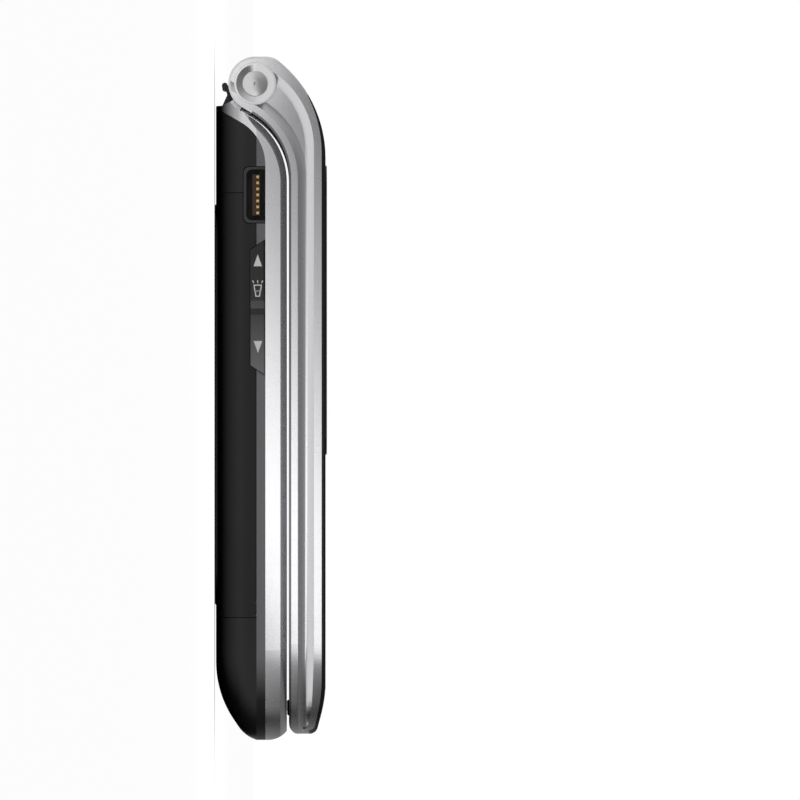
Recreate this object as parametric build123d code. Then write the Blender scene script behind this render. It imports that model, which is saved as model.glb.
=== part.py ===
from build123d import *
import os
from math import acos, atan2, cos, pi, radians, sin, sqrt, tan

# Clamshell phone, closed, lying on its back. X runs across the width, +Y points to the hinge end,
# +Z to the outside of the lid. The origin lies in the flat back, at mid width and mid length.

# Envelope
phone_length = 105.0
phone_width = 53.0
corner_radius = 14.0
hinge_corner_radius = 1.6

# Heights of the layers above the flat back
panel_step = 0.2
crease_z = 6.44
seam_z = 7.8
base_face_z = 11.1
lid_gap = 0.35
bezel_thickness = 1.25
cover_seam_z = 16.42
lid_skin_z = 17.03
window_step = 0.22

# Hinge line
barrel_radius = 4.14
hinge_z = 6.25
slope_angle = 59.0
bend_radius = 11.7
barrel_seat_gap = 0.61
slope_band = 1.45
seam_bend_radius = 7.6
seat_end_angle = 215.0

# Rounding of the back
pan_run = 7.2
pan_knee_in = 0.58
pan_knee_z = 4.65
pan_floor_radius = 15.8
pan_side_radius = 5.2
hinge_end_round = 8.0
pan_overrun = 4.1

# Outer line of the lid at the hinge end
crown_rise = 2.82
crown_radius = 3.0
shoulder_back = 2.76
shoulder_radius = 18.9
lid_edge = 0.3

# Free end of the lid and of the base rim
lid_setback = 0.95
lid_nose_length = 10.0
lid_nose_height = 2.53
lid_lip_length = 1.95
lid_lip_height = 1.45
nose_lap = 0.02
nose_rise = 0.05
nose_share = 0.98
rim_nose_length = 2.7
rim_nose_height = 3.6
rim_chamfer = 1.0

# Scoop along the side of the lid frame
scoop_depth = 0.55
scoop_top_z = 15.25
scoop_corner_back = 2.26
scoop_end_ahead = 2.54
scoop_end_z = 7.86
scoop_bend_radius = 14.0
scoop_cove_radius = 2.0
scoop_end_centre_z = 13.6
scoop_end_margin = 0.8

# Walls and fits
housing_wall = 1.2
cover_wall = 1.0
frame_wall = 2.0
frame_ledge = 1.0
lid_wall = 1.8
lid_room_back = 8.36
lid_boss_height = 3.0
bezel_end_run = 1.8
cover_corner_back = 2.4
cover_tip_back = 1.76
cover_slope_angle = 47.0
fit_gap = 0.05
seam_gap = 0.1
hinge_side_gap = 0.35
running_fit = 0.05
press_line = 0.02

# Ears, rings and caps of the hinge
ear_length = 7.25
notch_gap = 0.36
hood_reach = 2.16
ring_radius = 3.25
ring_bore = 1.95
ring_depth = 1.0
ring_lip = 0.3
ring_cone_depth = 0.6
cap_radius = 1.89
cap_edge_height = 0.45
cap_crown = 0.45

# Hinge parts inside the barrel
barrel_bore = 3.0
unit_length = 13.3
unit_end_wall = 2.0
shaft_radius = 1.1
shaft_square = 2.6
shaft_grip = 5.2
bush_length = 5.8
journal_radius = 1.6
journal_length = 5.0
journal_bore_radius = 0.9
flex_radius = 1.5
flex_wall = 0.25

# Strip with the turned-out lip behind the hinge
strip_side_margin = 9.5
strip_waist_back = 1.46
strip_waist_z = 2.0
strip_bend = 0.8
heel_back = 0.57
heel_drop = 1.21
lip_back = 0.16
lip_z = 1.55
lip_radius = 0.45

# Battery cover and battery
cover_hinge_back = 16.66
cover_free_ahead = 18.9
panel_side_margin = 9.5
panel_hinge_margin = 1.7
panel_free_margin = 1.9
panel_corner = 5.0
battery_side_margin = 9.5
battery_free_margin = 2.7
battery_hinge_margin = 9.6
battery_height = 5.0
battery_corner = 1.5
battery_edge = 0.4
bay_gap = 0.3
bay_wall = 1.0
bay_wall_foot = 2.0
battery_contact_width = 1.6
battery_contact_pitch = 3.6
battery_contact_bend = 0.25
battery_contact_height = 1.8
sim_y = -8.0
sim_side_margin = 4.25
sim_length = 15.5
sim_border = 2.0
sim_corner = 1.0
sim_thickness = 0.45
floor_thickness = 0.76

# Keys and their plate
key_travel = 0.3
key_rise = 0.6
key_side_gap = 0.15
key_flange = 0.5
key_edge = 0.25
plate_thickness = 1.0
plate_z = 9.4
board_thickness = 0.8
dome_height = 0.2
number_side_margin = 6.3
number_gap_x = 1.6
number_key_height = 10.0
number_pitch_y = 12.0
number_top_back = 48.36
number_corner = 2.4
call_key_back = 37.16
soft_key_back = 26.96
side_key_margin = 6.2
side_key_gap = 1.2
side_key_height = 7.6
nav_back = 32.06
nav_radius = 8.3
nav_bore = 4.0
ok_radius = 3.6

# Side rocker
rocker_hinge_back = 23.96
rocker_length = 20.8
rocker_low_z = 5.5
rocker_slant = 1.55
rocker_proud = 0.25
rocker_depth = 1.3
rocker_corner = 0.3
rocker_edge = 0.2
rocker_groove_ahead = 9.8
rocker_groove_width = 0.95
rocker_groove_depth = 0.35
switch_thickness = 0.4
switch_length = 17.0
switch_room = 0.75
switch_low_step = 0.3
switch_bump_radius = 0.6
switch_bump_reach = 6.8

# Charging socket
socket_back = 17.06
socket_length = 7.8
socket_low_z = 4.86
socket_corner = 0.9
socket_rim = 0.4
socket_depth = 7.0
tongue_height = 1.17
tongue_length = 6.3
tongue_low_z = 5.8
tongue_setback = 0.8
contact_count = 7
contact_pitch = 0.92
contact_side = 0.4
contact_rise = 0.82
contact_proud = 0.1
socket_back_wall = 1.0

# Headphone socket
jack_back = 16.76
jack_z = 5.6
jack_mouth_radius = 2.04
jack_bore_radius = 1.8
jack_collar_radius = 3.54
jack_body_width = 6.0
jack_body_height = 4.4
jack_body_length = 12.0
jack_back_wall = 1.0
jack_front_wall = 2.4
leaf_low = 1.84
leaf_high = 1.98
leaf_half = 0.35
leaf_setback = 0.6

# Screws
screw_side_margin = 4.2
screw_hinge_back = 22.76
screw_free_ahead = 21.1
screw_sides = 12
screw_radius = 0.7
screw_head_radius = 1.2
screw_head_height = 0.8
screw_boss_radius = 1.35
lid_screw_side_margin = 3.9
lid_screw_hinge_back = 19.36
lid_screw_free_ahead = 16.5

# Inner display, its lens and the outer window
lens_side_margin = 6.0
lens_hinge_back = 21.86
lens_free_ahead = 17.0
lens_thickness = 0.8
lens_sink = 0.06
lens_ledge = 2.2
display_side_margin = 0.2
display_end_margin = 2.0
display_thickness = 1.7
display_corner = 1.0
lid_board_thickness = 0.5
outer_display_side_margin = 6.5
outer_display_end_margin = 4.25
window_side_margin = 5.0
window_hinge_back = 12.46
window_free_ahead = 43.9
window_corner = 4.5
window_thickness = 0.36
window_ledge = 4.0

# Small parts in both halves
earpiece_ahead = 8.9
earpiece_width = 12.0
earpiece_length = 6.0
earpiece_height = 2.4
slot_width = 8.0
slot_height = 1.3
bumper_side_margin = 9.5
bumper_ahead = 4.8
bumper_radius = 0.95
bumper_depth = 0.5
bumper_gap = 0.05
bumper_edge = 0.15
magnet_side_margin = 12.5
magnet_ahead = 11.5
magnet_corner = 0.3
magnet_side = 4.0
magnet_height = 1.6
speaker_side_margin = 18.0
speaker_ahead = 11.6
speaker_width = 17.0
speaker_length = 10.6
speaker_height = 3.6
speaker_corner = 2.0
speaker_slot_count = 5
speaker_slot_pitch = 2.4
speaker_slot_width = 1.1
speaker_slot_length = 3.4
speaker_slot_ahead = 3.6
speaker_slot_height = 2.5
motor_side_margin = 15.0
motor_radius = 4.6
motor_height = 2.7
camera_side_margin = 18.5
camera_back = 11.76
camera_side = 6.5
camera_height = 4.4
camera_window_radius = 2.9
camera_window_depth = 0.8
camera_window_ledge = 0.7
torch_camera_gap = 8.0
torch_radius = 1.6
microphone_ahead = 6.9
microphone_radius = 2.0
microphone_hole_radius = 0.5
motor_ahead = 11.5
microphone_height = 1.3
torch_flange = 0.8
camera_barrel = 0.4
lens_corner = 3.0
board_gap = 0.2
switch_bump = 0.1
small_edge = 0.3
fine_edge = 0.2
plate_corner = 1.5
board_corner = 1.0
nav_tilt_room = 0.3
ok_foot = 0.1
foot_height = 0.38

# Worked out from the sizes above
half_width = phone_width / 2
base_free_y = -phone_length / 2
hinge_y = phone_length / 2 - barrel_radius
lid_free_y = base_free_y + lid_setback
skin_z = panel_step
lid_face_z = base_face_z + lid_gap
bezel_top_z = lid_face_z + bezel_thickness
lid_top_z = lid_skin_z + window_step
nose_end_y = lid_free_y + lid_nose_length
nose_z = lid_skin_z - lid_nose_height
cover_thickness = lid_skin_z - cover_seam_z
seat_radius = barrel_radius + barrel_seat_gap
ear_face_x = half_width - ear_length
barrel_half = ear_face_x - hinge_side_gap
floor_z = crease_z
floor_top_z = floor_z + floor_thickness
board_top_z = floor_top_z + board_thickness
dome_top_z = board_top_z + dome_height
plate_top_z = plate_z + plate_thickness
lid_mid_z = (lid_face_z + lid_skin_z) / 2
far = phone_length
strip_half_width = half_width - strip_side_margin
shoulder_y = hinge_y - shoulder_back
scoop_corner_y = hinge_y - scoop_corner_back
scoop_end_y = hinge_y + scoop_end_ahead
lid_room_y = hinge_y - lid_room_back
cover_corner_y = hinge_y - cover_corner_back
cover_tip_y = hinge_y - cover_tip_back
strip_waist_y = hinge_y - strip_waist_back
lip_y = hinge_y - lip_back
cover_hinge_y = hinge_y - cover_hinge_back
cover_free_y = base_free_y + cover_free_ahead
panel_half_width = half_width - panel_side_margin
panel_hinge_y = cover_hinge_y - panel_hinge_margin
panel_free_y = cover_free_y + panel_free_margin
battery_width = phone_width - 2 * battery_side_margin
battery_free_y = cover_free_y + battery_free_margin
battery_length = cover_hinge_y - battery_hinge_margin - battery_free_y
sim_width = battery_width - 2 * sim_side_margin
number_key_width = (phone_width - 2 * number_side_margin - 2 * number_gap_x) / 3
number_pitch_x = number_key_width + number_gap_x
number_top_y = hinge_y - number_top_back
call_key_y = hinge_y - call_key_back
soft_key_y = hinge_y - soft_key_back
side_key_width = half_width - side_key_margin - nav_radius - side_key_gap
side_key_x = nav_radius + side_key_gap + side_key_width / 2
nav_y = hinge_y - nav_back
rocker_hinge_y = hinge_y - rocker_hinge_back
rocker_free_y = rocker_hinge_y - rocker_length
rocker_groove_y = rocker_free_y + rocker_groove_ahead
socket_y = hinge_y - socket_back
jack_y = hinge_y - jack_back
screw_x = half_width - screw_side_margin
screw_hinge_y = hinge_y - screw_hinge_back
screw_free_y = base_free_y + screw_free_ahead
lid_screw_x = half_width - lid_screw_side_margin
lid_screw_hinge_y = hinge_y - lid_screw_hinge_back
lid_screw_free_y = base_free_y + lid_screw_free_ahead
lens_width = phone_width - 2 * lens_side_margin
lens_length = hinge_y - lens_hinge_back - base_free_y - lens_free_ahead
lens_y = base_free_y + lens_free_ahead + lens_length / 2
display_width = lens_width - 2 * display_side_margin
display_length = lens_length - 2 * display_end_margin
window_width = phone_width - 2 * window_side_margin
window_hinge_y = hinge_y - window_hinge_back
window_free_y = base_free_y + window_free_ahead
outer_display_width = window_width - 2 * outer_display_side_margin
outer_display_length = window_hinge_y - window_free_y - 2 * outer_display_end_margin
earpiece_y = base_free_y + earpiece_ahead
bumper_x = half_width - bumper_side_margin
bumper_y = base_free_y + bumper_ahead
magnet_x = magnet_side_margin - half_width
magnet_y = base_free_y + magnet_ahead
speaker_x = speaker_side_margin - half_width
speaker_y = base_free_y + speaker_ahead
motor_x = half_width - motor_side_margin
motor_y = base_free_y + motor_ahead
camera_x = half_width - camera_side_margin
camera_y = hinge_y - camera_back
torch_x = camera_x - torch_camera_gap
microphone_y = base_free_y + microphone_ahead

slope_dir = Vector(cos(radians(slope_angle)), -sin(radians(slope_angle)))
slope_out = Vector(-sin(radians(slope_angle)), -cos(radians(slope_angle)))
hinge_point = Vector(hinge_y, hinge_z)


def side_plane(x=0.0):
    """Plane square to X, with Y and Z as its own axes."""
    return Plane(origin=(x, 0, 0), x_dir=(0, 1, 0), z_dir=(1, 0, 0))


def side_face(points, radii):
    """Closed outline in Y and Z with one rounding for each corner."""
    return make_face(FilletPolyline(*points, radius=radii, close=True).edges())


def side_disc(radius):
    """Disc about the hinge axis, in Y and Z."""
    return Pos(hinge_y, hinge_z) * Circle(radius)


def across(face, half=far):
    """Solid of a Y and Z outline, drawn out to both sides of the mid plane."""
    return extrude(side_plane(-half) * face, amount=2 * half)


def rounded_plan(half, low_y, high_y, low_radius, high_radius, z=0.0):
    """Plan outline with its own corner radius at each end."""
    points = [(-half, low_y), (half, low_y), (half, high_y), (-half, high_y)]
    radii = [low_radius, low_radius, high_radius, high_radius]
    return Pos(0, 0, z) * make_face(FilletPolyline(*points, radius=radii, close=True).edges())


def block(x0, x1, y0, y1, z0, z1):
    """Box between two corners."""
    centre = ((x0 + x1) / 2, (y0 + y1) / 2, (z0 + z1) / 2)
    return Pos(*centre) * Box(abs(x1 - x0), abs(y1 - y0), abs(z1 - z0))


def tablet(x, y, z0, width, length, height, corner):
    """Upright plate with rounded corners, its underside at z0."""
    return extrude(Pos(x, y, z0) * RectangleRounded(width, length, corner), amount=height)


def post(x, y, z0, radius, height):
    """Upright round bar, its underside at z0."""
    return Pos(x, y, z0 + height / 2) * Cylinder(radius, height)


def bar(x0, x1, y, z, radius):
    """Round bar along X."""
    return Pos((x0 + x1) / 2, y, z) * Rot(0, 90, 0) * Cylinder(radius, abs(x1 - x0))


def foot_point(distance):
    """Point of the sloping line that lies nearest to the hinge axis."""
    return hinge_point + slope_out * distance


def corner_point(distance, face_z):
    """Where the sloping line at a distance from the hinge axis meets a level face."""
    foot = foot_point(distance)
    return foot - slope_dir * ((face_z - foot.Y) / sin(radians(slope_angle)))


def flat(point):
    """Plain pair of a 2-D point."""
    return (point.X, point.Y)


def below_slope(distance, face_z, radius):
    """Everything below a level face that turns down the slope to the back."""
    low = foot_point(distance) + slope_dir * far
    points = [(-far, face_z), flat(corner_point(distance, face_z)), flat(low), (-far, low.Y)]
    return side_face(points, [0, radius, 0, 0])


def pan_section(inset):
    """Section square to the rim, outwards from a corner's upright axis, drawn in by an even wall."""
    points = [
        (-far, skin_z), (corner_radius - pan_run, skin_z), (corner_radius - pan_knee_in, pan_knee_z),
        (corner_radius, crease_z), (corner_radius, far), (-far, far),
    ]
    section = side_face(points, [0, pan_floor_radius, pan_side_radius, 0, 0, 0])
    return offset(section, amount=-inset, kind=Kind.INTERSECTION) if inset else section


def pan(inset, top_z):
    """Rounded pan of the back, drawn in by an even wall, with upright sides above the crease."""
    axis_x = half_width - corner_radius
    axis_y = base_free_y + corner_radius
    section = pan_section(inset) & Pos(0, top_z / 2) * Rectangle(2 * far, top_z)
    outer = section & Pos(far / 2, far / 2) * Rectangle(far, far)
    side = Pos(axis_x, 0) * section
    upright = Plane(origin=(0, axis_y, 0), x_dir=(1, 0, 0), z_dir=(0, -1, 0))
    body = extrude(upright * (side & mirror(side, Plane.YZ)), amount=-far)
    end_face = Pos(axis_y, 0) * mirror(outer, Plane.YZ)
    body += extrude(side_plane(-axis_x) * end_face, amount=2 * axis_x)
    corner = revolve(Pos(axis_x, 0, 0) * upright * outer, Axis((axis_x, axis_y, 0), (0, 0, -1)), 90)
    body += corner + mirror(corner, Plane.YZ)
    hinge_end = hinge_y + pan_overrun - inset
    low = skin_z + inset
    points = [(-far, low), (hinge_end, low), (hinge_end, far), (-far, far)]
    return body & across(side_face(points, [0, hinge_end_round - inset, 0, 0]))


def side_rocker_outline(grow=0.0):
    """Slant-ended outline of the rocker, in Y and Z."""
    low = rocker_low_z - grow
    slant = rocker_slant * (seam_z - low) / (seam_z - rocker_low_z)
    points = [
        (rocker_free_y - grow, seam_z),
        (rocker_free_y - grow + slant, low),
        (rocker_hinge_y + grow - slant, low),
        (rocker_hinge_y + grow, seam_z),
    ]
    return side_face(points, [0, rocker_corner, rocker_corner, 0])


def socket_outline(grow=0.0):
    """Outline of the charging opening, round at its lower corners, in Y and Z."""
    half = socket_length / 2 + grow
    low = socket_low_z - grow
    points = [
        (socket_y - half, low), (socket_y + half, low),
        (socket_y + half, seam_z), (socket_y - half, seam_z),
    ]
    return side_face(points, [socket_corner, socket_corner, 0, 0])


# Outlines that both halves share
seat_angle = radians(seat_end_angle)
seat_end = Vector(hinge_y + seat_radius * sin(seat_angle), hinge_z + seat_radius * cos(seat_angle))
heel = Vector(seat_end.X - heel_back, seat_end.Y - heel_drop)
base_corner = corner_point(seat_radius, base_face_z)
base_points = [
    (-far, -far), (-far, base_face_z), flat(base_corner), flat(foot_point(seat_radius)),
    flat(seat_end), flat(heel), (heel.X - small_edge, -far),
]
base_region = side_face(base_points, [0, 0, bend_radius, 0, 0, 0, 0])
shell_region = below_slope(seat_radius + slope_band, seam_z, seam_bend_radius)

base_outline = rounded_plan(
    half_width, base_free_y, hinge_y + pan_overrun, corner_radius, hinge_corner_radius
)

# Rear housing: pan below the seam, hollow for the board and open where the battery cover goes
base_body = across(base_region - side_disc(seat_radius))
shell = (pan(0, seam_z) & base_body) & across(shell_region)
hollow = pan(housing_wall, base_face_z)
inner_slope = across(below_slope(seat_radius + slope_band + housing_wall, far, seam_bend_radius))
block_wall = housing_wall
board_space = block(-far, far, -far, far, floor_top_z, far)
end_space = block(-far, far, -far, cover_free_y - block_wall, 0, far)
head_space = block(-far, far, cover_hinge_y + block_wall, far, 0, far)
shell -= (hollow & (board_space + end_space + head_space)) & inner_slope
battery_y = battery_free_y + battery_length / 2
bay_half = battery_width / 2 + bay_gap + bay_wall
bay = block(
    -bay_half, bay_half, battery_free_y - bay_gap - bay_wall,
    battery_free_y + battery_length + bay_gap + bay_wall, bay_wall_foot, floor_z,
)
bay -= block(
    -bay_half + bay_wall, bay_half - bay_wall, battery_free_y - bay_gap,
    battery_free_y + battery_length + bay_gap, 0, floor_z,
)
cover_space = block(-far, far, cover_free_y, cover_hinge_y, 0, floor_z)
shell = shell - cover_space + bay

jack_inner_x = half_width - jack_front_wall - jack_body_length
jack_collar = bar(half_width - jack_body_length, half_width, jack_y, jack_z, jack_collar_radius)
jack_collar &= block(0, far, -far, far, 0, seam_z)
socket_back_x = -half_width + socket_depth
socket_hole = extrude(
    side_plane(-far) * socket_outline(socket_rim + seam_gap), amount=far + socket_back_x + fit_gap
)
jack_block = block(
    jack_inner_x, half_width - jack_front_wall, jack_y - jack_body_width / 2 - seam_gap,
    jack_y + jack_body_width / 2 + seam_gap, jack_z - jack_body_height / 2 - seam_gap, far,
)
shell += jack_collar
shell -= jack_block
shell -= bar(half_width - 2 * jack_front_wall, far, jack_y, jack_z, jack_mouth_radius)
shell -= socket_hole
rocker_well = extrude(
    side_plane(-half_width) * side_rocker_outline(seam_gap), amount=rocker_depth + switch_room
)
shell -= rocker_well
screw_spots = [(x, y) for x in (-screw_x, screw_x) for y in (screw_hinge_y, screw_free_y)]
for x, y in screw_spots:
    shell -= post(x, y, 0, screw_radius + press_line, far)
for index in range(speaker_slot_count):
    shell -= tablet(
        speaker_x + speaker_slot_pitch * (index - (speaker_slot_count - 1) / 2),
        speaker_y + speaker_slot_ahead, 0, speaker_slot_width, speaker_slot_length,
        speaker_slot_height, speaker_slot_width / 2 - press_line,
    )
window_floor_z = skin_z + camera_window_depth
shell -= post(camera_x, camera_y, 0, camera_window_radius + fit_gap, window_floor_z)
shell -= post(camera_x, camera_y, 0, camera_window_radius - camera_window_ledge, crease_z / 2)
shell -= post(torch_x, camera_y, 0, torch_radius + fit_gap, skin_z + housing_wall)
contact_spots = [battery_contact_pitch * step for step in (-1, 0, 1)]
bay_end_y = battery_free_y + battery_length + bay_gap
contact_z = floor_z - fit_gap - battery_height / 2
contact_half = battery_contact_height / 2
for x in contact_spots:
    shell -= block(
        x - battery_contact_width / 2 - fit_gap, x + battery_contact_width / 2 + fit_gap,
        bay_end_y - bay_gap, bay_end_y + 2 * bay_wall, contact_z - contact_half - seam_gap,
        contact_z + contact_half + seam_gap,
    )
shell -= tablet(
    0, sim_y, floor_z, sim_width + 2 * fit_gap, sim_length + 2 * fit_gap,
    sim_thickness + fit_gap, sim_corner,
)
rear_housing = shell

# Battery cover: the curved back between the two fixed ends, with its raised flat panel
cover = pan(0, seam_z) - pan(cover_wall, seam_z)
cover &= block(
    -far, far, cover_free_y + seam_gap, cover_hinge_y - seam_gap, 0, crease_z - seam_gap
)
panel = extrude(
    rounded_plan(panel_half_width, panel_free_y, panel_hinge_y, panel_corner, panel_corner),
    amount=panel_step + cover_wall / 2,
)
panel = chamfer(panel.edges().group_by(Axis.Z)[0], panel_step - press_line)
cover += panel
cover -= bar(0, far, jack_y, jack_z, jack_collar_radius + seam_gap)
cover -= block(0, far, jack_y - jack_collar_radius - seam_gap, far, jack_z, far)
cover -= jack_block
cover -= socket_hole
cover -= extrude(
    side_plane(-far) * side_rocker_outline(seam_gap),
    amount=far - half_width + rocker_depth + switch_room,
)
battery_cover = cover

# Battery, its contacts and the card tray in the roof of its bay
battery = tablet(
    0, battery_y, floor_z - fit_gap - battery_height, battery_width, battery_length,
    battery_height, battery_corner,
)
battery = chamfer(battery.edges().filter_by(Axis.Z, reverse=True), battery_edge)

battery_contacts = [
    block(
        x - battery_contact_width / 2, x + battery_contact_width / 2,
        bay_end_y - bay_gap + press_line, bay_end_y + bay_wall, contact_z - contact_half,
        contact_z + contact_half,
    )
    for x in contact_spots
]
battery_contacts = [
    fillet(contact.edges().filter_by(Axis.X).group_by(Axis.Y)[0], battery_contact_bend)
    for contact in battery_contacts
]
sim_tray = tablet(0, sim_y, floor_z, sim_width, sim_length, sim_thickness, sim_corner)
sim_tray -= tablet(
    0, sim_y, floor_z, sim_width - 2 * sim_border, sim_length - 2 * sim_border, sim_thickness / 2,
    sim_corner,
)


def half_plane(edge_y, low_z, high_z):
    """Y and Z region from an edge towards the hinge, between two heights."""
    return Pos(edge_y + far, (low_z + high_z) / 2) * Rectangle(2 * far, high_z - low_z)


def oval(length, height):
    """Oval in Y and Z, drawn with two arcs to each quarter, its middle at the origin."""
    turn = atan2(height, length)
    half_side = (1 - sqrt(0.5)) * sqrt(length**2 + height**2)
    near, tall = (sqrt(2) - 1) * length, (sqrt(2) - 1) * height
    flank_radius = nose_share * min(near, half_side) / tan(turn / 2)
    end_radius = nose_share * min(tall, half_side) / tan((pi / 2 - turn) / 2)
    points = [
        (near, height), (-near, height), (-length, tall), (-length, -tall),
        (-near, -height), (near, -height), (length, -tall), (length, tall),
    ]
    radii = [flank_radius, flank_radius, end_radius, end_radius] * 2
    return side_face(points, radii)


def nose(end_y, middle_z, length, height):
    """Rounded end in Y and Z that runs out just past the end face and the flat beside it."""
    return Pos(end_y + length - nose_lap, middle_z) * oval(length, height + nose_rise)


def free_end_rim():
    """Y and Z region that rounds the free end of the base over above the seam."""
    region = nose(base_free_y, seam_z, rim_nose_length, rim_nose_height)
    region += half_plane(base_free_y + rim_nose_length, 0, far)
    region += half_plane(-far, -far, seam_z)
    return region


def free_end_lid():
    """Y and Z region of the lid's free end, rounded over at the top and at the lip."""
    low_z = lid_face_z + lid_lip_height
    region = nose(lid_free_y, nose_z, lid_nose_length, lid_nose_height)
    region += nose(lid_free_y, low_z, lid_lip_length, lid_lip_height)
    region += half_plane(lid_free_y + lid_lip_length, lid_face_z - 1, low_z)
    region += half_plane(nose_end_y, -far, far)
    region += half_plane(-far, low_z, nose_z)
    return region


def outline_edges(solid, low_z, free_y):
    """Edges that run round a half's outline above a height, without the upright ones."""
    return [
        edge for edge in solid.edges()
        if edge.center().Z > low_z and abs((edge % 0.5).Z) < 0.99
        and (abs(edge.center().X) > 1 or edge.center().Y < free_y + 1e-3)
    ]


# Front frame: rim of the base, swept back under the hinge, with the middle barrel on it
rim = extrude(base_outline, amount=base_face_z) & base_body
rim = chamfer(outline_edges(rim, foot_point(seat_radius).Y, base_free_y), rim_chamfer)
rim = (rim & pan(0, base_face_z)) & across(free_end_rim())
rim -= across(shell_region)
plate_half = half_width - frame_wall
plate_free_y = base_free_y + rim_nose_length + rim_chamfer
plate_hinge_y = base_corner.X - bend_radius * tan(radians(slope_angle / 2)) - frame_wall
plate_radius = corner_radius - frame_wall
rim -= extrude(
    rounded_plan(plate_half, plate_free_y, plate_hinge_y, plate_radius, plate_corner, plate_z),
    amount=far,
)
rim -= extrude(
    rounded_plan(
        plate_half - frame_ledge, plate_free_y + frame_ledge, plate_hinge_y - frame_ledge,
        plate_radius - frame_ledge, board_corner, crease_z,
    ),
    amount=far,
)
boss_z = board_top_z + fit_gap
for x, y in screw_spots:
    boss = post(x, y, boss_z, screw_boss_radius, plate_z - boss_z)
    wall_side = 1 if x > 0 else -1
    boss += block(
        x, wall_side * (plate_half - frame_ledge / 2), y - screw_boss_radius, y + screw_boss_radius,
        boss_z, plate_z,
    )
    rim += boss
    rim -= post(x, y, 0, screw_radius + press_line, plate_z)

neck_face = make_face(
    Polyline(
        flat(hinge_point), flat(foot_point(seat_radius + slope_band / 2)), flat(seat_end),
        close=True,
    ).edges()
)
barrel = bar(-barrel_half, barrel_half, hinge_y, hinge_z, barrel_radius)
barrel += across(neck_face, barrel_half)
barrel = chamfer(barrel.edges().filter_by(GeomType.CIRCLE).group_by(Axis.X)[0], fine_edge)
barrel = chamfer(barrel.edges().filter_by(GeomType.CIRCLE).group_by(Axis.X)[-1], fine_edge)
front_frame = rim + barrel - bar(-barrel_half, barrel_half, hinge_y, hinge_z, barrel_bore)

# Strip behind the barrel, with its turned-out lip
strip_face = side_face(
    [
        flat(heel), (strip_waist_y, strip_waist_z), (lip_y, lip_z), (hinge_y, hinge_z),
        flat(seat_end),
    ],
    [0, strip_bend, 0, 0, 0],
)
strip_face += Pos(lip_y, lip_z) * Circle(lip_radius)
strip_face = strip_face - side_disc(barrel_radius) - neck_face - base_region
hinge_cover = across(strip_face, strip_half_width)

# Lid: one outline, cut into cover, frame and inner bezel
crown_y = hinge_y + barrel_radius
lid_corner = corner_point(barrel_radius, lid_face_z)
lid_points = [
    (-far, lid_face_z), flat(lid_corner), flat(foot_point(barrel_radius)), flat(hinge_point),
    (crown_y, hinge_z), (crown_y, hinge_z + crown_rise), (shoulder_y, lid_skin_z),
    (-far, lid_skin_z),
]
lid_face = side_face(lid_points, [0, bend_radius, 0, 0, 0, crown_radius, shoulder_radius, 0])
lid_face += side_disc(barrel_radius)
lid_outline = rounded_plan(half_width, lid_free_y, crown_y + cover_thickness, corner_radius, 0)
lid_solid = across(lid_face) & extrude(lid_outline, amount=far)
lid_solid = chamfer(outline_edges(lid_solid, -far, lid_free_y), lid_edge)
lid_solid &= across(free_end_lid())

notch = bar(-ear_face_x, ear_face_x, hinge_y, hinge_z, barrel_radius + notch_gap)
notch += block(-ear_face_x, ear_face_x, hinge_y - hood_reach, far, -far, far)
lid_solid -= notch

cover_region = side_face(
    [
        (nose_end_y, cover_seam_z), (cover_corner_y, cover_seam_z),
        (cover_corner_y + far, cover_seam_z - far * tan(radians(cover_slope_angle))),
        (cover_corner_y + far, far), (nose_end_y, far),
    ],
    [0, shoulder_radius, 0, 0, 0],
)
cover_end = Pos(nose_end_y - far / 2, nose_z + far / 2) * Rectangle(far, far)
cover_end -= Pos(nose_end_y, nose_z) * oval(
    lid_nose_length - cover_thickness, lid_nose_height - cover_thickness
)
cover_region += cover_end
cover_region &= Pos(cover_tip_y - far, 0) * Rectangle(2 * far, 4 * far)
bezel_corner = corner_point(barrel_radius - bezel_thickness, bezel_top_z)
bezel_end = foot_point(barrel_radius - bezel_thickness) - slope_dir * bezel_end_run
bezel_region = side_face(
    [
        (-far, bezel_top_z), flat(bezel_corner), flat(bezel_end),
        flat(bezel_end + slope_out * far), (-far, -far),
    ],
    [0, bend_radius + bezel_thickness, 0, 0, 0],
)

# Lid frame: silver walls, hood over the barrel and the two ears, with a scoop along each side
frame = (lid_solid - across(cover_region)) - across(bezel_region)
frame -= extrude(
    rounded_plan(
        half_width - lid_wall, lid_free_y + lid_nose_length / 4, lid_room_y,
        corner_radius - lid_wall, plate_corner, lid_face_z,
    ),
    amount=far,
)
for x in (-lid_screw_x, lid_screw_x):
    for y in (lid_screw_hinge_y, lid_screw_free_y):
        wall_side = 1 if x > 0 else -1
        boss = post(x, y, bezel_top_z, screw_boss_radius, lid_boss_height)
        boss += block(
            x, wall_side * (half_width - lid_wall / 2), y - screw_boss_radius,
            y + screw_boss_radius, bezel_top_z, bezel_top_z + lid_boss_height,
        )
        frame += boss
        frame -= post(x, y, bezel_top_z - 1, screw_radius + press_line, lid_boss_height + 1)

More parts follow.
